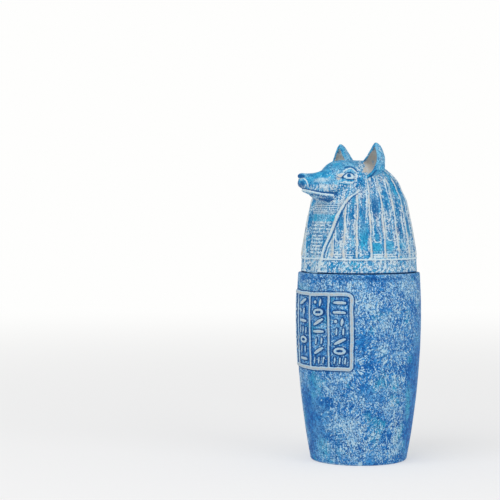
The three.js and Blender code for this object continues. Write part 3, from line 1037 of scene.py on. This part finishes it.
    def wig(self, angle: Array, level: Array) -> Carving:
        """Carves the wig, its collar band and the chest.

        Args:
            angle: Angle of each point in degrees from the front, of either sign.
            level: Height of each point.

        Returns:
            Its height from the plain wig and its paint.
        """
        carving = Carving.blank(level)
        carving.wear = self.streaked(angle, level)
        side = np.abs(angle)
        radius = np.maximum(self.wig_radius(level), 8)
        depth_in = (self.lappet_edge(level) - side) * DEGREES * radius
        self.chest(carving, level, depth_in)
        beside = ramp(depth_in, 0.1, -0.5)
        apply_forms(carving, self.patches, side * DEGREES * self.radius, level, beside)
        hair = beside * ramp(level, self.band_height + 0.1, self.band_height + 0.9)
        self.hair(carving, level, side, radius, hair * ramp(level, 0.93 * self.height, 0.8 * self.height))
        self.edges(carving, level, depth_in, side)
        return carving

    def lock_at(self, side: Array) -> tuple[Array, Array, Array]:
        """Finds the lock that each point lies in.

        Args:
            side: Angle of each point from the front, in degrees without sign.

        Returns:
            The lock's number, below 0 in front of the first, and the angles of the ridges on its two sides.
        """
        root = self.lock_step**2 + 4 * self.lock_widening * np.maximum(side - self.first_lock, -30)
        index = np.floor((np.sqrt(root) - self.lock_step) / (2 * self.lock_widening))
        index = np.clip(index, -2, self.locks - 1)
        last = 360 - self.lock_angle(float(self.locks - 1))
        high = np.where(index >= self.locks - 1, last, self.lock_angle(index + 1))
        return index, self.lock_angle(index), high

    def hair(self, carving: Carving, level: Array, side: Array, radius: Array, share: Array) -> None:
        """Carves the wig's locks, each with a tongue inside it and a ridge on either side, with painted shade
        along each ridge's foot.

        Args:
            carving: What they are added to.
            level: Height of each point.
            side: Angle of each point from the front, in degrees without sign.
            radius: Radius of the plain wig at each point.
            share: How much of them each point takes.
        """
        index, low, high = self.lock_at(side)
        waver = 0.25 * np.sin(level / 3.1 + index * 2.3) + 0.12 * np.sin(level / 1.3 + index)
        to_ridge = np.abs(np.minimum(side - low, high - side) * DEGREES * radius + waver)
        taper = np.clip(radius / self.radius, 0.4, 1)
        ridge = ramp(to_ridge, self.lock_ridge * 0.85 * taper, self.lock_ridge * 0.35 * taper)
        keep = share * (index >= 0)
        self.tongues(carving, level, side, low, high, radius, keep * (1 - ridge))
        bare = ramp(to_ridge, 1.0 * taper, 0.5 * taper)
        fresh = 0.8 + 0.2 * np.sin(level / 3.4 + index * 1.9) * np.sin(level / 7.9 - index)
        # Painted shade: dark lines along the foot of each ridge, on both its sides
        carving.add(ramp(to_ridge, 1.5 * taper, 1.0 * taper) * (1 - bare) * keep, pool=0.6)
        carving.add(ridge * keep, rise=self.lock_rise)
        carving.add(bare * fresh * keep, rub=1.0, tan=0.68)

    def tongues(self, carving: Carving, level: Array, side: Array, low: Array, high: Array, radius: Array,
                keep: Array) -> None:
        """Carves the long round-ended tongue inside each lock and the short lines below it.

        Args:
            carving: What they are added to.
            level: Height of each point.
            side: Angle of each point from the front, in degrees without sign.
            low: Angle of the lock's ridge nearer the front.
            high: Angle of its other ridge.
            radius: Radius of the plain wig at each point.
            keep: How much of them each point takes.
        """
        middle = (low + high) / 2
        wide = (high - low) / 2 * DEGREES * radius
        across = (side - middle) * DEGREES * radius
        half = wide * 0.62 + 0.25 * np.sin(level / 4.3 + middle)
        end = self.tongue_end + 1.2 * np.sin(middle * 1.7)
        corner = np.minimum(half, self.tongue_corner)
        over_side = np.maximum(np.abs(across) - half + corner, 0)
        over_end = np.maximum(end + corner - level, 0)
        depth = corner - np.hypot(over_side, over_end)
        sunk = ramp(wide - np.abs(across), 0.6, 1.6)
        carving.add(sunk * keep, rise=-0.3)
        carving.add(ramp(depth, 0.6, 1.6) * keep, wear=-0.35)
        rim = ramp(np.abs(depth), 0.62, 0.2)
        fresh = 0.5 + 0.4 * np.sin(middle * 2.9 + across * 0.5 + level / 9)
        carving.add(ramp(depth, -1.5, -0.5) * (1 - rim) * ramp(level, 16, 19) * keep, pool=0.4)
        carving.add(rim * keep * fresh, rise=0.42, rub=0.95)
        lines = ribbing(level, self.line_pitch)
        below = ramp(level, self.lines_top, self.lines_top - 0.8) * sunk
        below = below * ramp(level, self.band_height + 0.5, self.band_height + 1.1)
        carving.add(lines * below * keep, rise=0.3, rub=0.65)
        carving.add((1 - lines) * below * keep, pool=0.45)

    def edges(self, carving: Carving, level: Array, depth_in: Array, side: Array) -> None:
        """Carves the lappets' borders, the band's raised line and the border's foot within the band, and
        paints shade along the lid's lowest edge at the seam.

        Args:
            carving: What they are added to.
            level: Height of each point.
            depth_in: How far each point lies inside the lappets' edges, in millimetres.
            side: Angle of each point from the front, in degrees without sign.
        """
        out = -depth_in
        fading = ramp(level, self.border_top, self.border_top - 6)
        before = ramp(side, self.first_lock - 1.5, self.first_lock - 4)
        for offset in self.thin_lines:
            thin = ramp(np.abs(out - offset), 0.6, 0.15) * before
            above = ramp(level, self.band_height + 0.5, self.band_height + 1.5)
            carving.add(thin * above, rise=0.35, rub=0.7)
        groove = ramp(np.abs(out - self.border_width - 0.4), 0.7, 0.3) * fading
        carving.add(groove * ramp(level, self.band_height - 0.3, self.band_height + 0.7), pool=0.7)
        line = ramp(np.abs(level - self.band_height + 0.45), 0.7, 0.3)
        carving.add(ramp(np.abs(level - self.band_height + 0.8), 1.4, 0.7), pool=0.5)
        carving.add(line, rise=self.band_rise, rub=0.9)
        border = ramp(out, 0.1, 0.5) * ramp(out, self.border_width, self.border_width - 0.5) * fading
        carving.add(border, rise=0.3, rub=0.72, tan=0.4)
        foot = ramp(out, 0.1, 0.4) * ramp(out, 8.5, 7.5) * ramp(level, 2.0, 1.4) * ramp(level, 0.4, 0.8)
        carving.add(foot, rise=0.25, rub=0.8)
        # Painted shade: the lid's lowest millimetre is darkened along the seam over the jar's rim
        carving.add(ramp(level, 0.95, 0.25), pool=0.95)

    def turned_wig(self) -> bpy.types.Object:
        """Makes the wig, collar and plug as one turned and carved form.

        Returns:
            The new object.
        """
        up = smooth(((0, 0), (0.7, 0.72), (0.9, 0.935), (1, 1)), np.linspace(0, 1, 180)) * self.height
        rounding = self.edge * EDGE_MIDDLE
        rows = [(r, -self.plug_depth) for r in np.linspace(0, self.plug_radius - self.edge, 6)]
        rows += [(self.plug_radius, level) for level in np.linspace(self.edge - self.plug_depth, 0, 8)]
        rows += [(r, 0) for r in np.linspace(self.plug_radius + 0.8, self.radius - self.edge, 6)]
        rows += [(self.radius - rounding, rounding)]
        rows += [(float(self.wig_radius(level)), level) for level in up if level >= self.edge]
        piece = turned_form("wig", np.array(rows, dtype=float), ((0, 360, 420),))
        points = read_points(piece) / MM
        angle, radius, level = around(points)
        rise = self.wig(angle / DEGREES, level).rise * (level >= self.edge) * np.clip(radius / 8, 0, 1)
        points[:, :2] *= (1 + rise / np.maximum(radius, 1e-6))[:, None]
        points[:, 2] += self.base
        write_points(piece, points * MM)
        return piece

    def stations(self, rows: Rows, share: Array) -> list[Array]:
        """Values of a row of sections at each share of its length."""
        at = share * (len(rows) - 1)
        return [smooth(tuple(enumerate(column)), at) for column in zip(*rows)]

    def head_form(self, name: str, rows: Rows, squareness: float) -> bpy.types.Object:
        """Makes the skull or the jaw from its sections.

        Args:
            name: The piece's name.
            rows: Its sections.
            squareness: Power of the sections' rounding, 2 for an oval.

        Returns:
            The new object.
        """

        def place(share: Array, angle: Array) -> Array:
            """Places the form's points.

            Args:
                share: Share of its length of each point, from the nose back.
                angle: Angle of each point around it, in radians.

            Returns:
                The points, in millimetres.
            """
            reach, top, low, brow, cheek = self.stations(rows, share)
            up = np.sin(angle)
            width = (1 - np.abs(up) ** squareness) ** (1 / squareness) * np.sign(np.cos(angle))
            lean = cheek + (brow - cheek) * (up + 1) / 2
            pole = at_pole(share)
            x = np.where(pole, 0, width * lean * self.head_width / 2)
            half = np.where(pole, 0, up * (top - low) / 2)
            z = ((top + low) / 2 + half) * self.height + self.base
            return np.stack([x, -reach * self.snout_reach, z], axis=1)

        return swept_form(name, 60, 72, place)

    def ear_sections(self, share: Array) -> tuple[Array, Array, Array, Array, Array]:
        """Sizes of the ear in millimetres.

        Args:
            share: Share of its length of each section, from its root up.

        Returns:
            Height, middle, half width, rim's place forward and depth behind the rim of each section.
        """
        up, inner, outer, rim, depth = self.stations(self.ear, share)
        tip = self.ear[-1][0]
        above = self.height + (up - 1) / (tip - 1) * self.ear_rise
        level = np.where(up <= 1, up * self.height, above)
        middle, half = (inner + outer) / 2 * self.radius, (outer - inner) / 2 * self.radius
        return level, middle, half, rim * self.radius, depth * self.radius

    def ear_form(self, name: str, wall: float) -> bpy.types.Object:
        """Makes one ear, or the hollow that is scooped out of its front.

        Args:
            name: The piece's name.
            wall: Wall that the hollow leaves, or 0 for the ear itself.

        Returns:
            The new object.
        """
        front = 5.0 if wall > 0 else 0.6

        def place(share: Array, angle: Array) -> Array:
            """Places the form's points.

            Args:
                share: Share of its length of each point, from its root up.
                angle: Angle of each point around it, in radians.

            Returns:
                The points, in millimetres.
            """
            level, middle, half, rim, depth = self.ear_sections(share)
            half = np.maximum(half - wall * 1.1, 0.2)
            depth = np.maximum(depth - wall * 1.2, 0.3)
            back = np.sin(angle)
            pole = at_pole(share)
            x = middle + np.where(pole, 0, half * np.cos(angle))
            y = -rim + np.where(pole, 0, back * np.where(back > 0, depth, front))
            return np.stack([x, y, level + wall * (1 - 2 * share) + self.base], axis=1)

        return swept_form(name, 48, 64, place)

    def ear_shares(self, points: Array) -> tuple[Array, Array]:
        """How much each point belongs to an ear.

        Args:
            points: The points, in millimetres.

        Returns:
            Its share of an ear's hollow and of an ear's rim.
        """
        level, *sizes = self.ear_sections(np.linspace(0, 1, 200))
        z = points[:, 2] - self.base
        middle, half, rim, depth = [np.interp(z, level, values) for values in sizes]
        across, back = np.abs(points[:, 0]) - middle, points[:, 1] + rim
        wide, deep = np.maximum(half - self.ear_wall, 0.3), np.maximum(depth - self.ear_wall * 1.2, 0.3)
        inner = np.hypot(across / wide, back / deep)
        outer = np.hypot(across / np.maximum(half, 0.3), back / np.maximum(depth, 0.3))
        near = (z > level[0] - 0.5) & (z < level[-1] + 1)
        hollow = near * ramp(inner, 1.2, 1.05) * ramp(back, -0.1, 0.5)
        lip = near * ramp(outer, 1.25, 1.05) * ramp(inner, 0.95, 1.05) * ramp(np.abs(back), 1.2, 0.3)
        return hollow, lip

    def clay(self) -> bpy.types.Object:
        """Joins the wig, head and ears and melts them into one skin.

        Returns:
            The new object.
        """

        def at(x: float, reach: float, up: float) -> Vector:
            """Place on the head, x in millimetres, with its reach and height as shares."""
            return Vector((x, -reach * self.snout_reach, up * self.height + self.base))

        ear = self.ear_form("ear", 0.0)
        cut_away(ear, self.ear_form("ear_hollow", self.ear_wall))
        parts = [self.turned_wig()]
        parts.append(self.head_form("skull", self.skull, squareness=2.3))
        parts.append(self.head_form("jaw", self.jaw, squareness=2.2))
        parts.append(ellipsoid("nose", at(0, 0.965, 0.853), Vector((4.1, 2.4, 2.1))))
        socket = 0.66 * (self.head_width / 2)
        lumps = [
            ellipsoid("lip", at(2.2, 0.93, 0.79), Vector((2.7, 2.6, 2.9))),
            ellipsoid("eyeball", at(socket, 0.385, 0.868), Vector((1.9, 5.0, 2.7)), turn=-24),
        ]
        for lump in [ear, *lumps]:
            parts += [lump, mirrored_copy(lump)]
        piece = joined(parts, "jackal_lid")
        make_active(piece)
        skin = piece.modifiers.new("skin", "REMESH")
        skin.mode = "VOXEL"
        skin.voxel_size = self.voxel * MM
        skin.adaptivity = 0
        bpy.ops.object.modifier_apply(modifier=skin.name)
        return piece

    def soften_head(self, piece: bpy.types.Object, head: Array) -> None:
        """Rounds the joins of the head's forms.

        Args:
            piece: The lid.
            head: Whether each of its vertices is on the bare head, away from the wig and the ears.
        """
        make_active(piece)
        bpy.ops.object.mode_set(mode="EDIT")
        bpy.ops.mesh.select_mode(type="VERT")
        bpy.ops.mesh.select_all(action="DESELECT")
        bpy.ops.object.mode_set(mode="OBJECT")
        piece.data.vertices.foreach_set("select", head)
        bpy.ops.object.mode_set(mode="EDIT")
        bpy.ops.mesh.vertices_smooth(factor=0.5, repeat=8)
        bpy.ops.object.mode_set(mode="OBJECT")

    def paint_face(
        self, carving: Carving, points: Array, normals: Array, level: Array, bare: Array
    ) -> None:
        """Adds the face's lines and spots on both sides of the head, placed as its one side is seen.

        Args:
            carving: What they are added to.
            points: The lid's points, in millimetres.
            normals: Their normals.
            level: Their heights before the head was softened.
            bare: Whether each point is off the wig and the ears' hollows.
        """
        turn = self.seen_from * DEGREES
        u = np.abs(points[:, 0]) * math.cos(turn) + points[:, 1] * math.sin(turn)
        facing = normals[:, 0] * np.sign(points[:, 0]) * math.sin(turn) - normals[:, 1] * math.cos(turn)
        face = bare & (level > self.head_low) & (level < self.face_top) & (points[:, 1] < self.face_back)
        apply_forms(carving, self.face, u, level, ramp(facing, 0.0, 0.25) * face)

    def paint_ears(self, carving: Carving, points: Array, hollow: Array, lip: Array) -> None:
        """Paints the ears' rims thickly and leaves their hollows bare and stained, with some blue brushed in.

        Args:
            carving: What the paint is added to.
            points: The lid's points, in millimetres.
            hollow: How much of an ear's hollow each point has.
            lip: How much of an ear's rim each point has.
        """
        carving.add(lip, wear=-0.4)
        carving.add(hollow, tan=0.85, rub=0.8)
        carving.add(hollow * ramp(chance(points, 2.6), 0.55, 0.75), pool=0.4)
        brushed = ramp(chance(points * (1.0, 1.0, 0.3), 0.8), 0.35, 0.65)
        outward = ramp(np.abs(points[:, 0]), 15.5, 19.5) * brushed
        carving.add(hollow * outward, rub=0.35, pool=0.25, teal=0.4)

    def carve(self, piece: bpy.types.Object) -> None:
        """Carves the wig's locks and the face's lines into the skin and stores its paint.

        Args:
            piece: The lid's plain skin.
        """
        points = read_points(piece) / MM
        angle, radius, level = around(points)
        level = level - self.base
        carving = self.wig(angle / DEGREES, level)
        target = self.wig_radius(level) + carving.rise
        outside = radius > target + 1
        on_wig = ramp(np.abs(radius - target), 0.75, 0.35) * (level > self.edge) * ramp(level, 64, 61)
        hollow, lip = self.ear_shares(points)
        head = (on_wig < 0.3) & (points[:, 1] < self.head_back)
        head &= (level > self.head_low) & (level < self.head_top)
        by_ears = (np.abs(points[:, 0]) > self.ear_side) & (level > self.ear_low)
        ears = (hollow >= 0.1) | (lip >= 0.1) | by_ears
        self.soften_head(piece, head & ~ears)
        points = read_points(piece) / MM
        points[:, :2] *= (1 + on_wig * (target / np.maximum(radius, 1) - 1))[:, None]
        write_points(piece, points * MM)
        normals = read_points(piece, "normal")
        carving.limit(np.maximum(on_wig, (level < 50) & ~outside))
        carving.rise = np.zeros_like(level)
        carving.add(outside & (level > 55), wear=-0.5, teal=0.5)
        self.paint_face(carving, points, normals, level, (on_wig < 0.5) & (hollow < 0.1))
        self.paint_ears(carving, points, hollow, lip)
        carving.rise = carving.rise - 0.12 * chance(points, 3.1)
        points += normals * carving.rise[:, None] * ramp(level, 0, 1.5)[:, None]
        write_points(piece, points * MM)
        carving.store(piece)

    def build(self, finish: "RubbedPaint") -> bpy.types.Object:
        """Makes the lid and dresses it.

        Args:
            finish: Its paint.

        Returns:
            The finished piece.
        """
        piece = self.clay()
        self.carve(piece)
        finish.dress(piece)
        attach(piece, "root")
        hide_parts("lid")
        return piece


@dataclass(frozen=True)
class Brushwork:
    """Outputs of the nodes that a paint's pattern is made of.

    The patches are large, the daubs middling and the flecks fine. The grain mixes the fine patterns, thin
    says how thin the coat is, and cool how turquoise.
    """

    patches: Socket
    daubs: Socket
    flecks: Socket
    grain: Socket
    thin: Socket
    cool: Socket


@dataclass(frozen=True)
class RubbedPaint:
    """Satin craft paint brushed over a cast stone-and-resin ground and wiped back. Sizes in millimetres.

    It gives the eye a deep blue broken by fine pale flecks and curved brush streaks, pale where the carving
    stands proud and navy where the paint lies in the hollows, with painted shade in the seam, under the jaw
    and beside the wig's ridges and a painted glint in the jackal's pupil.
    """

    name: str
    deep: str
    middle: str
    light: str
    turquoise: str
    bare: str
    stained: str
    dark: str
    fleck: float = 0.85
    patch: float = 13.0
    cover: float = 0.5
    azure: float = 0.3
    roughness: float = 0.5
    index: float = 1.47
    sheen: float = 0.14
    bump: float = 0.3
    bump_strength: float = 0.6
    lean: tuple[float, float, float] = (0.3, 0.5, 0.2)

    def brushwork(self, add: Callable[..., Socket], wear: Socket) -> Brushwork:
        """Adds the nodes of the brushed coat's pattern.

        Args:
            add: Adds a node to the material.
            wear: How much thinner the coat is worn.

        Returns:
            The pattern's outputs.
        """
        place = add("TexCoord", {}, "Object")
        where = add("VectorMath", {0: place, "Scale": 1 / MM}, operation="SCALE")
        # Brush streaks about 5 mm long that wander by the size of a patch
        sway = add("TexNoise", {"Vector": where, "Scale": 1 / (self.patch * 1.6), "Detail": 1.0}, "Color")
        sway = add("VectorMath", {0: sway, "Scale": self.patch * 1.5}, operation="SCALE")
        swayed = add("VectorMath", {0: where, 1: sway}, **PLUS)
        stretched = add("Mapping", {"Vector": swayed, "Rotation": self.lean, "Scale": (1.0, 1.0, 0.14)})
        inputs = {"Vector": stretched, "Scale": 1 / (self.fleck * 0.8), "Detail": 2.0}
        streaks = add("TexNoise", inputs, "Fac")
        inputs = {"Vector": where, "Scale": 1 / self.patch, "Detail": 3.0, "Roughness": 0.6}
        patches = add("TexNoise", inputs, "Fac")
        inputs = {"Vector": where, "Scale": 1 / self.fleck, "Detail": 1.0, "Roughness": 0.4}
        flecks = add("TexNoise", {**inputs, "Distortion": 1.1}, "Fac")
        inputs = {"Vector": where, "Scale": 1 / (self.fleck * 3.2), "Detail": 2.0, "Distortion": 0.6}
        daubs = add("TexNoise", inputs, "Fac")
        # Thin squiggles where a noise crosses its middle value
        inputs = {"Vector": swayed, "Scale": 1 / (self.fleck * 1.9), "Detail": 1.0, "Distortion": 0.8}
        fold = add("Math", {0: add("TexNoise", inputs, "Fac"), 1: 0.5}, **LESS)
        fold = add("Math", {0: fold}, operation="ABSOLUTE")
        squiggles = add("MapRange", {"Value": fold, "From Max": 0.13, "To Min": 0.72, "To Max": 0.34})
        parts = ((flecks, 0.2), (squiggles, 0.34), (streaks, 0.46))
        mixed = [add("Math", {0: value, 1: share}, **TIMES) for value, share in parts]
        grain = add("Math", {0: add("Math", {0: mixed[0], 1: mixed[1]}, **PLUS), 1: mixed[2]}, **PLUS)
        thin = add("Math", {0: grain, 1: add("Math", {0: wear, 1: 0.17}, **TIMES)}, **PLUS)
        for value, share in ((patches, 0.24), (daubs, 0.16)):
            swing = add("Math", {0: add("Math", {0: value, 1: 0.5}, **LESS), 1: share}, **TIMES)
            thin = add("Math", {0: thin, 1: swing}, **PLUS)
        inputs = {"Vector": where, "Scale": 1 / (self.patch * 0.9), "Detail": 2.0, "W": 3.0}
        far = add("TexNoise", inputs, "Fac", noise_dimensions="4D")
        start, end = 0.62 - self.azure * 0.4, 0.72 - self.azure * 0.3
        cool = add("MapRange", {"Value": far, "From Min": start, "From Max": end, "To Max": 0.6}, **SOFT)
        return Brushwork(patches, daubs, flecks, grain, thin, cool)

    def colour(self, add: Callable[..., Socket], work: Brushwork, shares: dict[str, Socket]) -> Socket:
        """Adds the nodes that lay the paint's tones over one another.

        Args:
            add: Adds a node to the material.
            work: The brushed coat's pattern.
            shares: The carving's paint shares, by name.

        Returns:
            The paint's colour.
        """

        def broken(share: Socket, amount: float, start: float, end: float, top: float) -> Socket:
            """Breaks up the edges of a share by the grain.

            Args:
                share: The share.
                amount: How far the grain shifts it.
                start: Shifted share at which the tone starts to show.
                end: Shifted share at which it is full.
                top: How much it covers where it is full.

            Returns:
                The broken share.
            """
            shift = add("Math", {0: add("Math", {0: work.grain, 1: 0.5}, **LESS), 1: amount}, **TIMES)
            value = add("Math", {0: share, 1: shift}, **PLUS)
            inputs = {"Value": value, "From Min": start, "From Max": end, "To Max": top}
            return add("MapRange", inputs, **SOFT)

        tone = add("MapRange", {"Value": work.daubs, "From Min": 0.38, "From Max": 0.62}, **SOFT)
        colour = add("Mix", {0: tone, 6: self.deep, 7: self.middle}, 2, **COLOUR)
        glazed = add("Math", {0: shares["teal"], 1: work.daubs}, **TIMES)
        glazed = add("MapRange", {"Value": glazed, "From Min": 0.05, "From Max": 0.5}, **SOFT)
        cool = add("Math", {0: work.cool, 1: glazed}, operation="MAXIMUM")
        colour = add("Mix", {0: cool, 6: colour, 7: self.turquoise}, 2, **COLOUR)
        # Pattern, its values where a tone starts and is full, and how much the tone covers: a pale wash, the
        # haze and the crisp flecks of the thin coat, and the dark paint between them
        edge = 1 - self.cover
        coats = (
            (work.patches, 0.4, 0.66, 0.45, self.light),
            (work.thin, edge - 0.03, edge + 0.012, 0.6, self.light),
            (work.thin, edge + 0.018, edge + 0.036, 0.95, self.bare),
            (work.flecks, 0.455, 0.42, 0.8, self.dark),
        )
        for value, start, end, top, paint in coats:
            inputs = {"Value": value, "From Min": start, "From Max": end, "To Max": top}
            colour = add("Mix", {0: add("MapRange", inputs, **SOFT), 6: colour, 7: paint}, 2, **COLOUR)
        spots = add("MapRange", {"Value": work.flecks, "From Min": 0.3, "From Max": 0.52}, **SOFT)
        pale = add("Mix", {0: spots, 6: self.light, 7: self.bare}, 2, **COLOUR)
        # Dark paint in the hollows; it also carries the painted shade in the seam, under the jaw and beside
        # the wig's ridges
        pooled_and_shaded = broken(shares["pool"], -1.0, 0.2, 0.75, 0.95)
        # Pale ground where the paint is worn back; it also carries the painted glint in the pupil
        rubbed_and_glinting = broken(shares["rub"], 0.65, 0.35, 0.75, 1.0)
        tanned = broken(shares["tan"], 1.2, 0.25, 0.9, 0.95)
        for share, paint in ((pooled_and_shaded, self.dark), (rubbed_and_glinting, pale), (tanned, self.stained)):
            colour = add("Mix", {0: share, 6: colour, 7: paint}, 2, **COLOUR)
        return colour

    def material(self) -> bpy.types.Material:
        """Makes the finish's nodes.

        Returns:
            The new material.
        """
        material = bpy.data.materials.new(self.name)
        material.use_nodes = True
        tree = material.node_tree
        shader = tree.nodes["Principled BSDF"]

        def add(kind: str, inputs: dict, out: int | str = 0, **settings: object) -> Socket:
            """Adds a node to this material."""
            return add_node(tree, kind, inputs, out, **settings)

        shares = {name: add("Attribute", {}, "Fac", attribute_name=name) for name in PAINT_SHARES}
        work = self.brushwork(add, shares["wear"])
        tree.links.new(self.colour(add, work, shares), shader.inputs["Base Color"])
        inputs = {"Value": work.thin, "From Min": 0.3, "From Max": 0.7}
        inputs |= {"To Min": self.roughness, "To Max": self.roughness + 0.25}
        tree.links.new(add("MapRange", inputs), shader.inputs["Roughness"])
        shader.inputs["IOR"].default_value = self.index
        shader.inputs["Specular IOR Level"].default_value = self.sheen
        inputs = {"Strength": self.bump_strength, "Distance": self.bump * MM, "Height": work.grain}
        tree.links.new(add("Bump", inputs), shader.inputs["Normal"])
        return material

    def dress(self, piece: bpy.types.Object) -> None:
        """Gives a piece this finish and smooth shading.

        Args:
            piece: The piece.
        """
        piece.data.materials.clear()
        piece.data.materials.append(self.material())
        make_active(piece)
        bpy.ops.object.shade_smooth()


@dataclass(frozen=True)
class Lamp:
    """Soft square lamp: its turn from the camera and elevation in degrees, and metres and watts."""

    name: str
    turn: float
    elevation: float
    distance: float
    size: float
    power: float


@dataclass
class Studio:
    """Pale floor, soft light and the camera at the photograph's angle. Sizes in metres and degrees.

    The aside, focal and frame values are lengths in pixels of the photograph's own square frame.
    """

    azimuth: float = 54.0
    distance: float = 1.004
    height: float = 0.166
    pitch: float = 1.92
    aside: float = 109.0
    focal: float = 1583.0
    frame: float = 500.0
    sensor: float = 36
    ambient: float = 0.6
    floor_radius: float = 9
    lamp_aim: float = 0.1
    lamps: tuple[Lamp, ...] = (
        Lamp("key", -35, 46, 1.6, 1.3, 10.5),
        Lamp("fill", 50, 24, 1.8, 1.2, 8),
    )

    def camera(self) -> None:
        """Places the camera, turned a little past the jar as the photograph's is."""
        turn = self.azimuth * DEGREES
        away = Vector((math.sin(turn), -math.cos(turn), 0))
        across = Vector((math.cos(turn), math.sin(turn), 0))
        pitch = self.pitch * DEGREES
        yaw = math.atan2(self.aside * math.cos(pitch), self.focal)
        level = -away * math.cos(yaw) - across * math.sin(yaw)
        ahead = level * math.cos(pitch) - Vector((0, 0, math.sin(pitch)))
        right = ahead.cross(Vector((0, 0, 1))).normalized()
        up = right.cross(ahead)
        data = bpy.data.cameras.new("camera")
        data.sensor_width = self.sensor
        data.lens = self.focal / self.frame * data.sensor_width
        data.clip_start = 0.01
        camera = bpy.data.objects.new("camera", data)
        bpy.context.scene.collection.objects.link(camera)
        turned = Matrix((right, up, -ahead)).transposed().to_4x4()
        place = away * self.distance + Vector((0, 0, self.height))
        camera.matrix_world = Matrix.Translation(place) @ turned
        bpy.context.scene.camera = camera

    def hang(self, lamp: Lamp) -> None:
        """Adds a lamp that looks at the jar.

        Args:
            lamp: The lamp's place, size and power.
        """
        a, e = (self.azimuth + lamp.turn) * DEGREES, lamp.elevation * DEGREES
        way = Vector((math.sin(a) * math.cos(e), -math.cos(a) * math.cos(e), math.sin(e)))
        data = bpy.data.lights.new(lamp.name, "AREA")
        data.size = lamp.size
        data.energy = lamp.power
        piece = bpy.data.objects.new(lamp.name, data)
        bpy.context.scene.collection.objects.link(piece)
        piece.location = way * lamp.distance + Vector((0, 0, self.lamp_aim))
        piece.rotation_euler = (-way).to_track_quat("-Z", "Y").to_euler()

    def floor(self) -> None:
        """Lays a wide pale floor that brightens to white away from the jar."""
        deselect_all()
        bpy.ops.mesh.primitive_circle_add(
            vertices=96, radius=self.floor_radius, fill_type="NGON", location=(0, 0, 0)
        )
        piece = bpy.context.object
        piece.name = "floor"
        material = bpy.data.materials.new("matt white board")
        material.use_nodes = True
        tree = material.node_tree
        tree.nodes.clear()
        place = add_node(tree, "TexCoord", {}, "Object")
        reach = add_node(tree, "VectorMath", {0: place}, "Value", operation="LENGTH")
        inputs = {"Value": reach, "From Min": 0.1, "From Max": 1.4, "To Min": 0.42}
        reach = add_node(tree, "MapRange", inputs, interpolation_type="SMOOTHSTEP")
        board = add_node(tree, "BsdfDiffuse", {"Color": "#eeeef0"})
        glow = add_node(tree, "Emission", {"Color": "#fefefd", "Strength": 1.0})
        blend = add_node(tree, "MixShader", {0: reach, 1: board, 2: glow})
        add_node(tree, "OutputMaterial", {"Surface": blend}, out=None)
        piece.data.materials.append(material)

    def build(self) -> None:
        """Sets up the floor, the sky, the lamps and the camera."""
        self.camera()
        self.floor()
        world = bpy.data.worlds.new("white studio")
        world.use_nodes = True
        tree = world.node_tree
        tree.nodes.clear()
        seen = add_node(tree, "LightPath", {}, "Is Camera Ray")
        power = add_node(tree, "MapRange", {"Value": seen, "To Min": self.ambient, "To Max": 1.0})
        sky = add_node(tree, "Background", {"Color": "#fefefd", "Strength": power})
        add_node(tree, "OutputWorld", {"Surface": sky}, out=None)
        bpy.context.scene.world = world
        bpy.context.scene.view_settings.view_transform = "Standard"
        for lamp in self.lamps:
            self.hang(lamp)


def main() -> None:
    """Builds the pieces in order and keeps both boxes, hidden."""
    logging.basicConfig(level=logging.INFO, format="%(message)s")
    Studio().build()
    body_paint = RubbedPaint(
        name="wiped royal blue craft paint on cast stone",
        deep="#125ea8", middle="#2c82c6", light="#76b6e0", turquoise="#37a2c4",
        bare="#b3d1e0", stained="#b3aba8", dark="#06407c",
        cover=0.472, azure=0.12,
    )
    lid_paint = RubbedPaint(
        name="wiped azure craft paint on cast stone",
        deep="#187fb9", middle="#42a2d1", light="#a0cfe6", turquoise="#35a9d2",
        bare="#cfdde2", stained="#c0b9b0", dark="#0d5793",
        patch=9.0, cover=0.492, azure=0.25, lean=(0.05, 0.08, 0.0),
    )
    for maker, paint in ((JarBody(), body_paint), (JackalLid(), lid_paint)):
        piece = maker.build(paint)
        LOG.info("%s: %d faces", piece.name, len(piece.data.polygons))


if __name__ == "__main__":
    main()
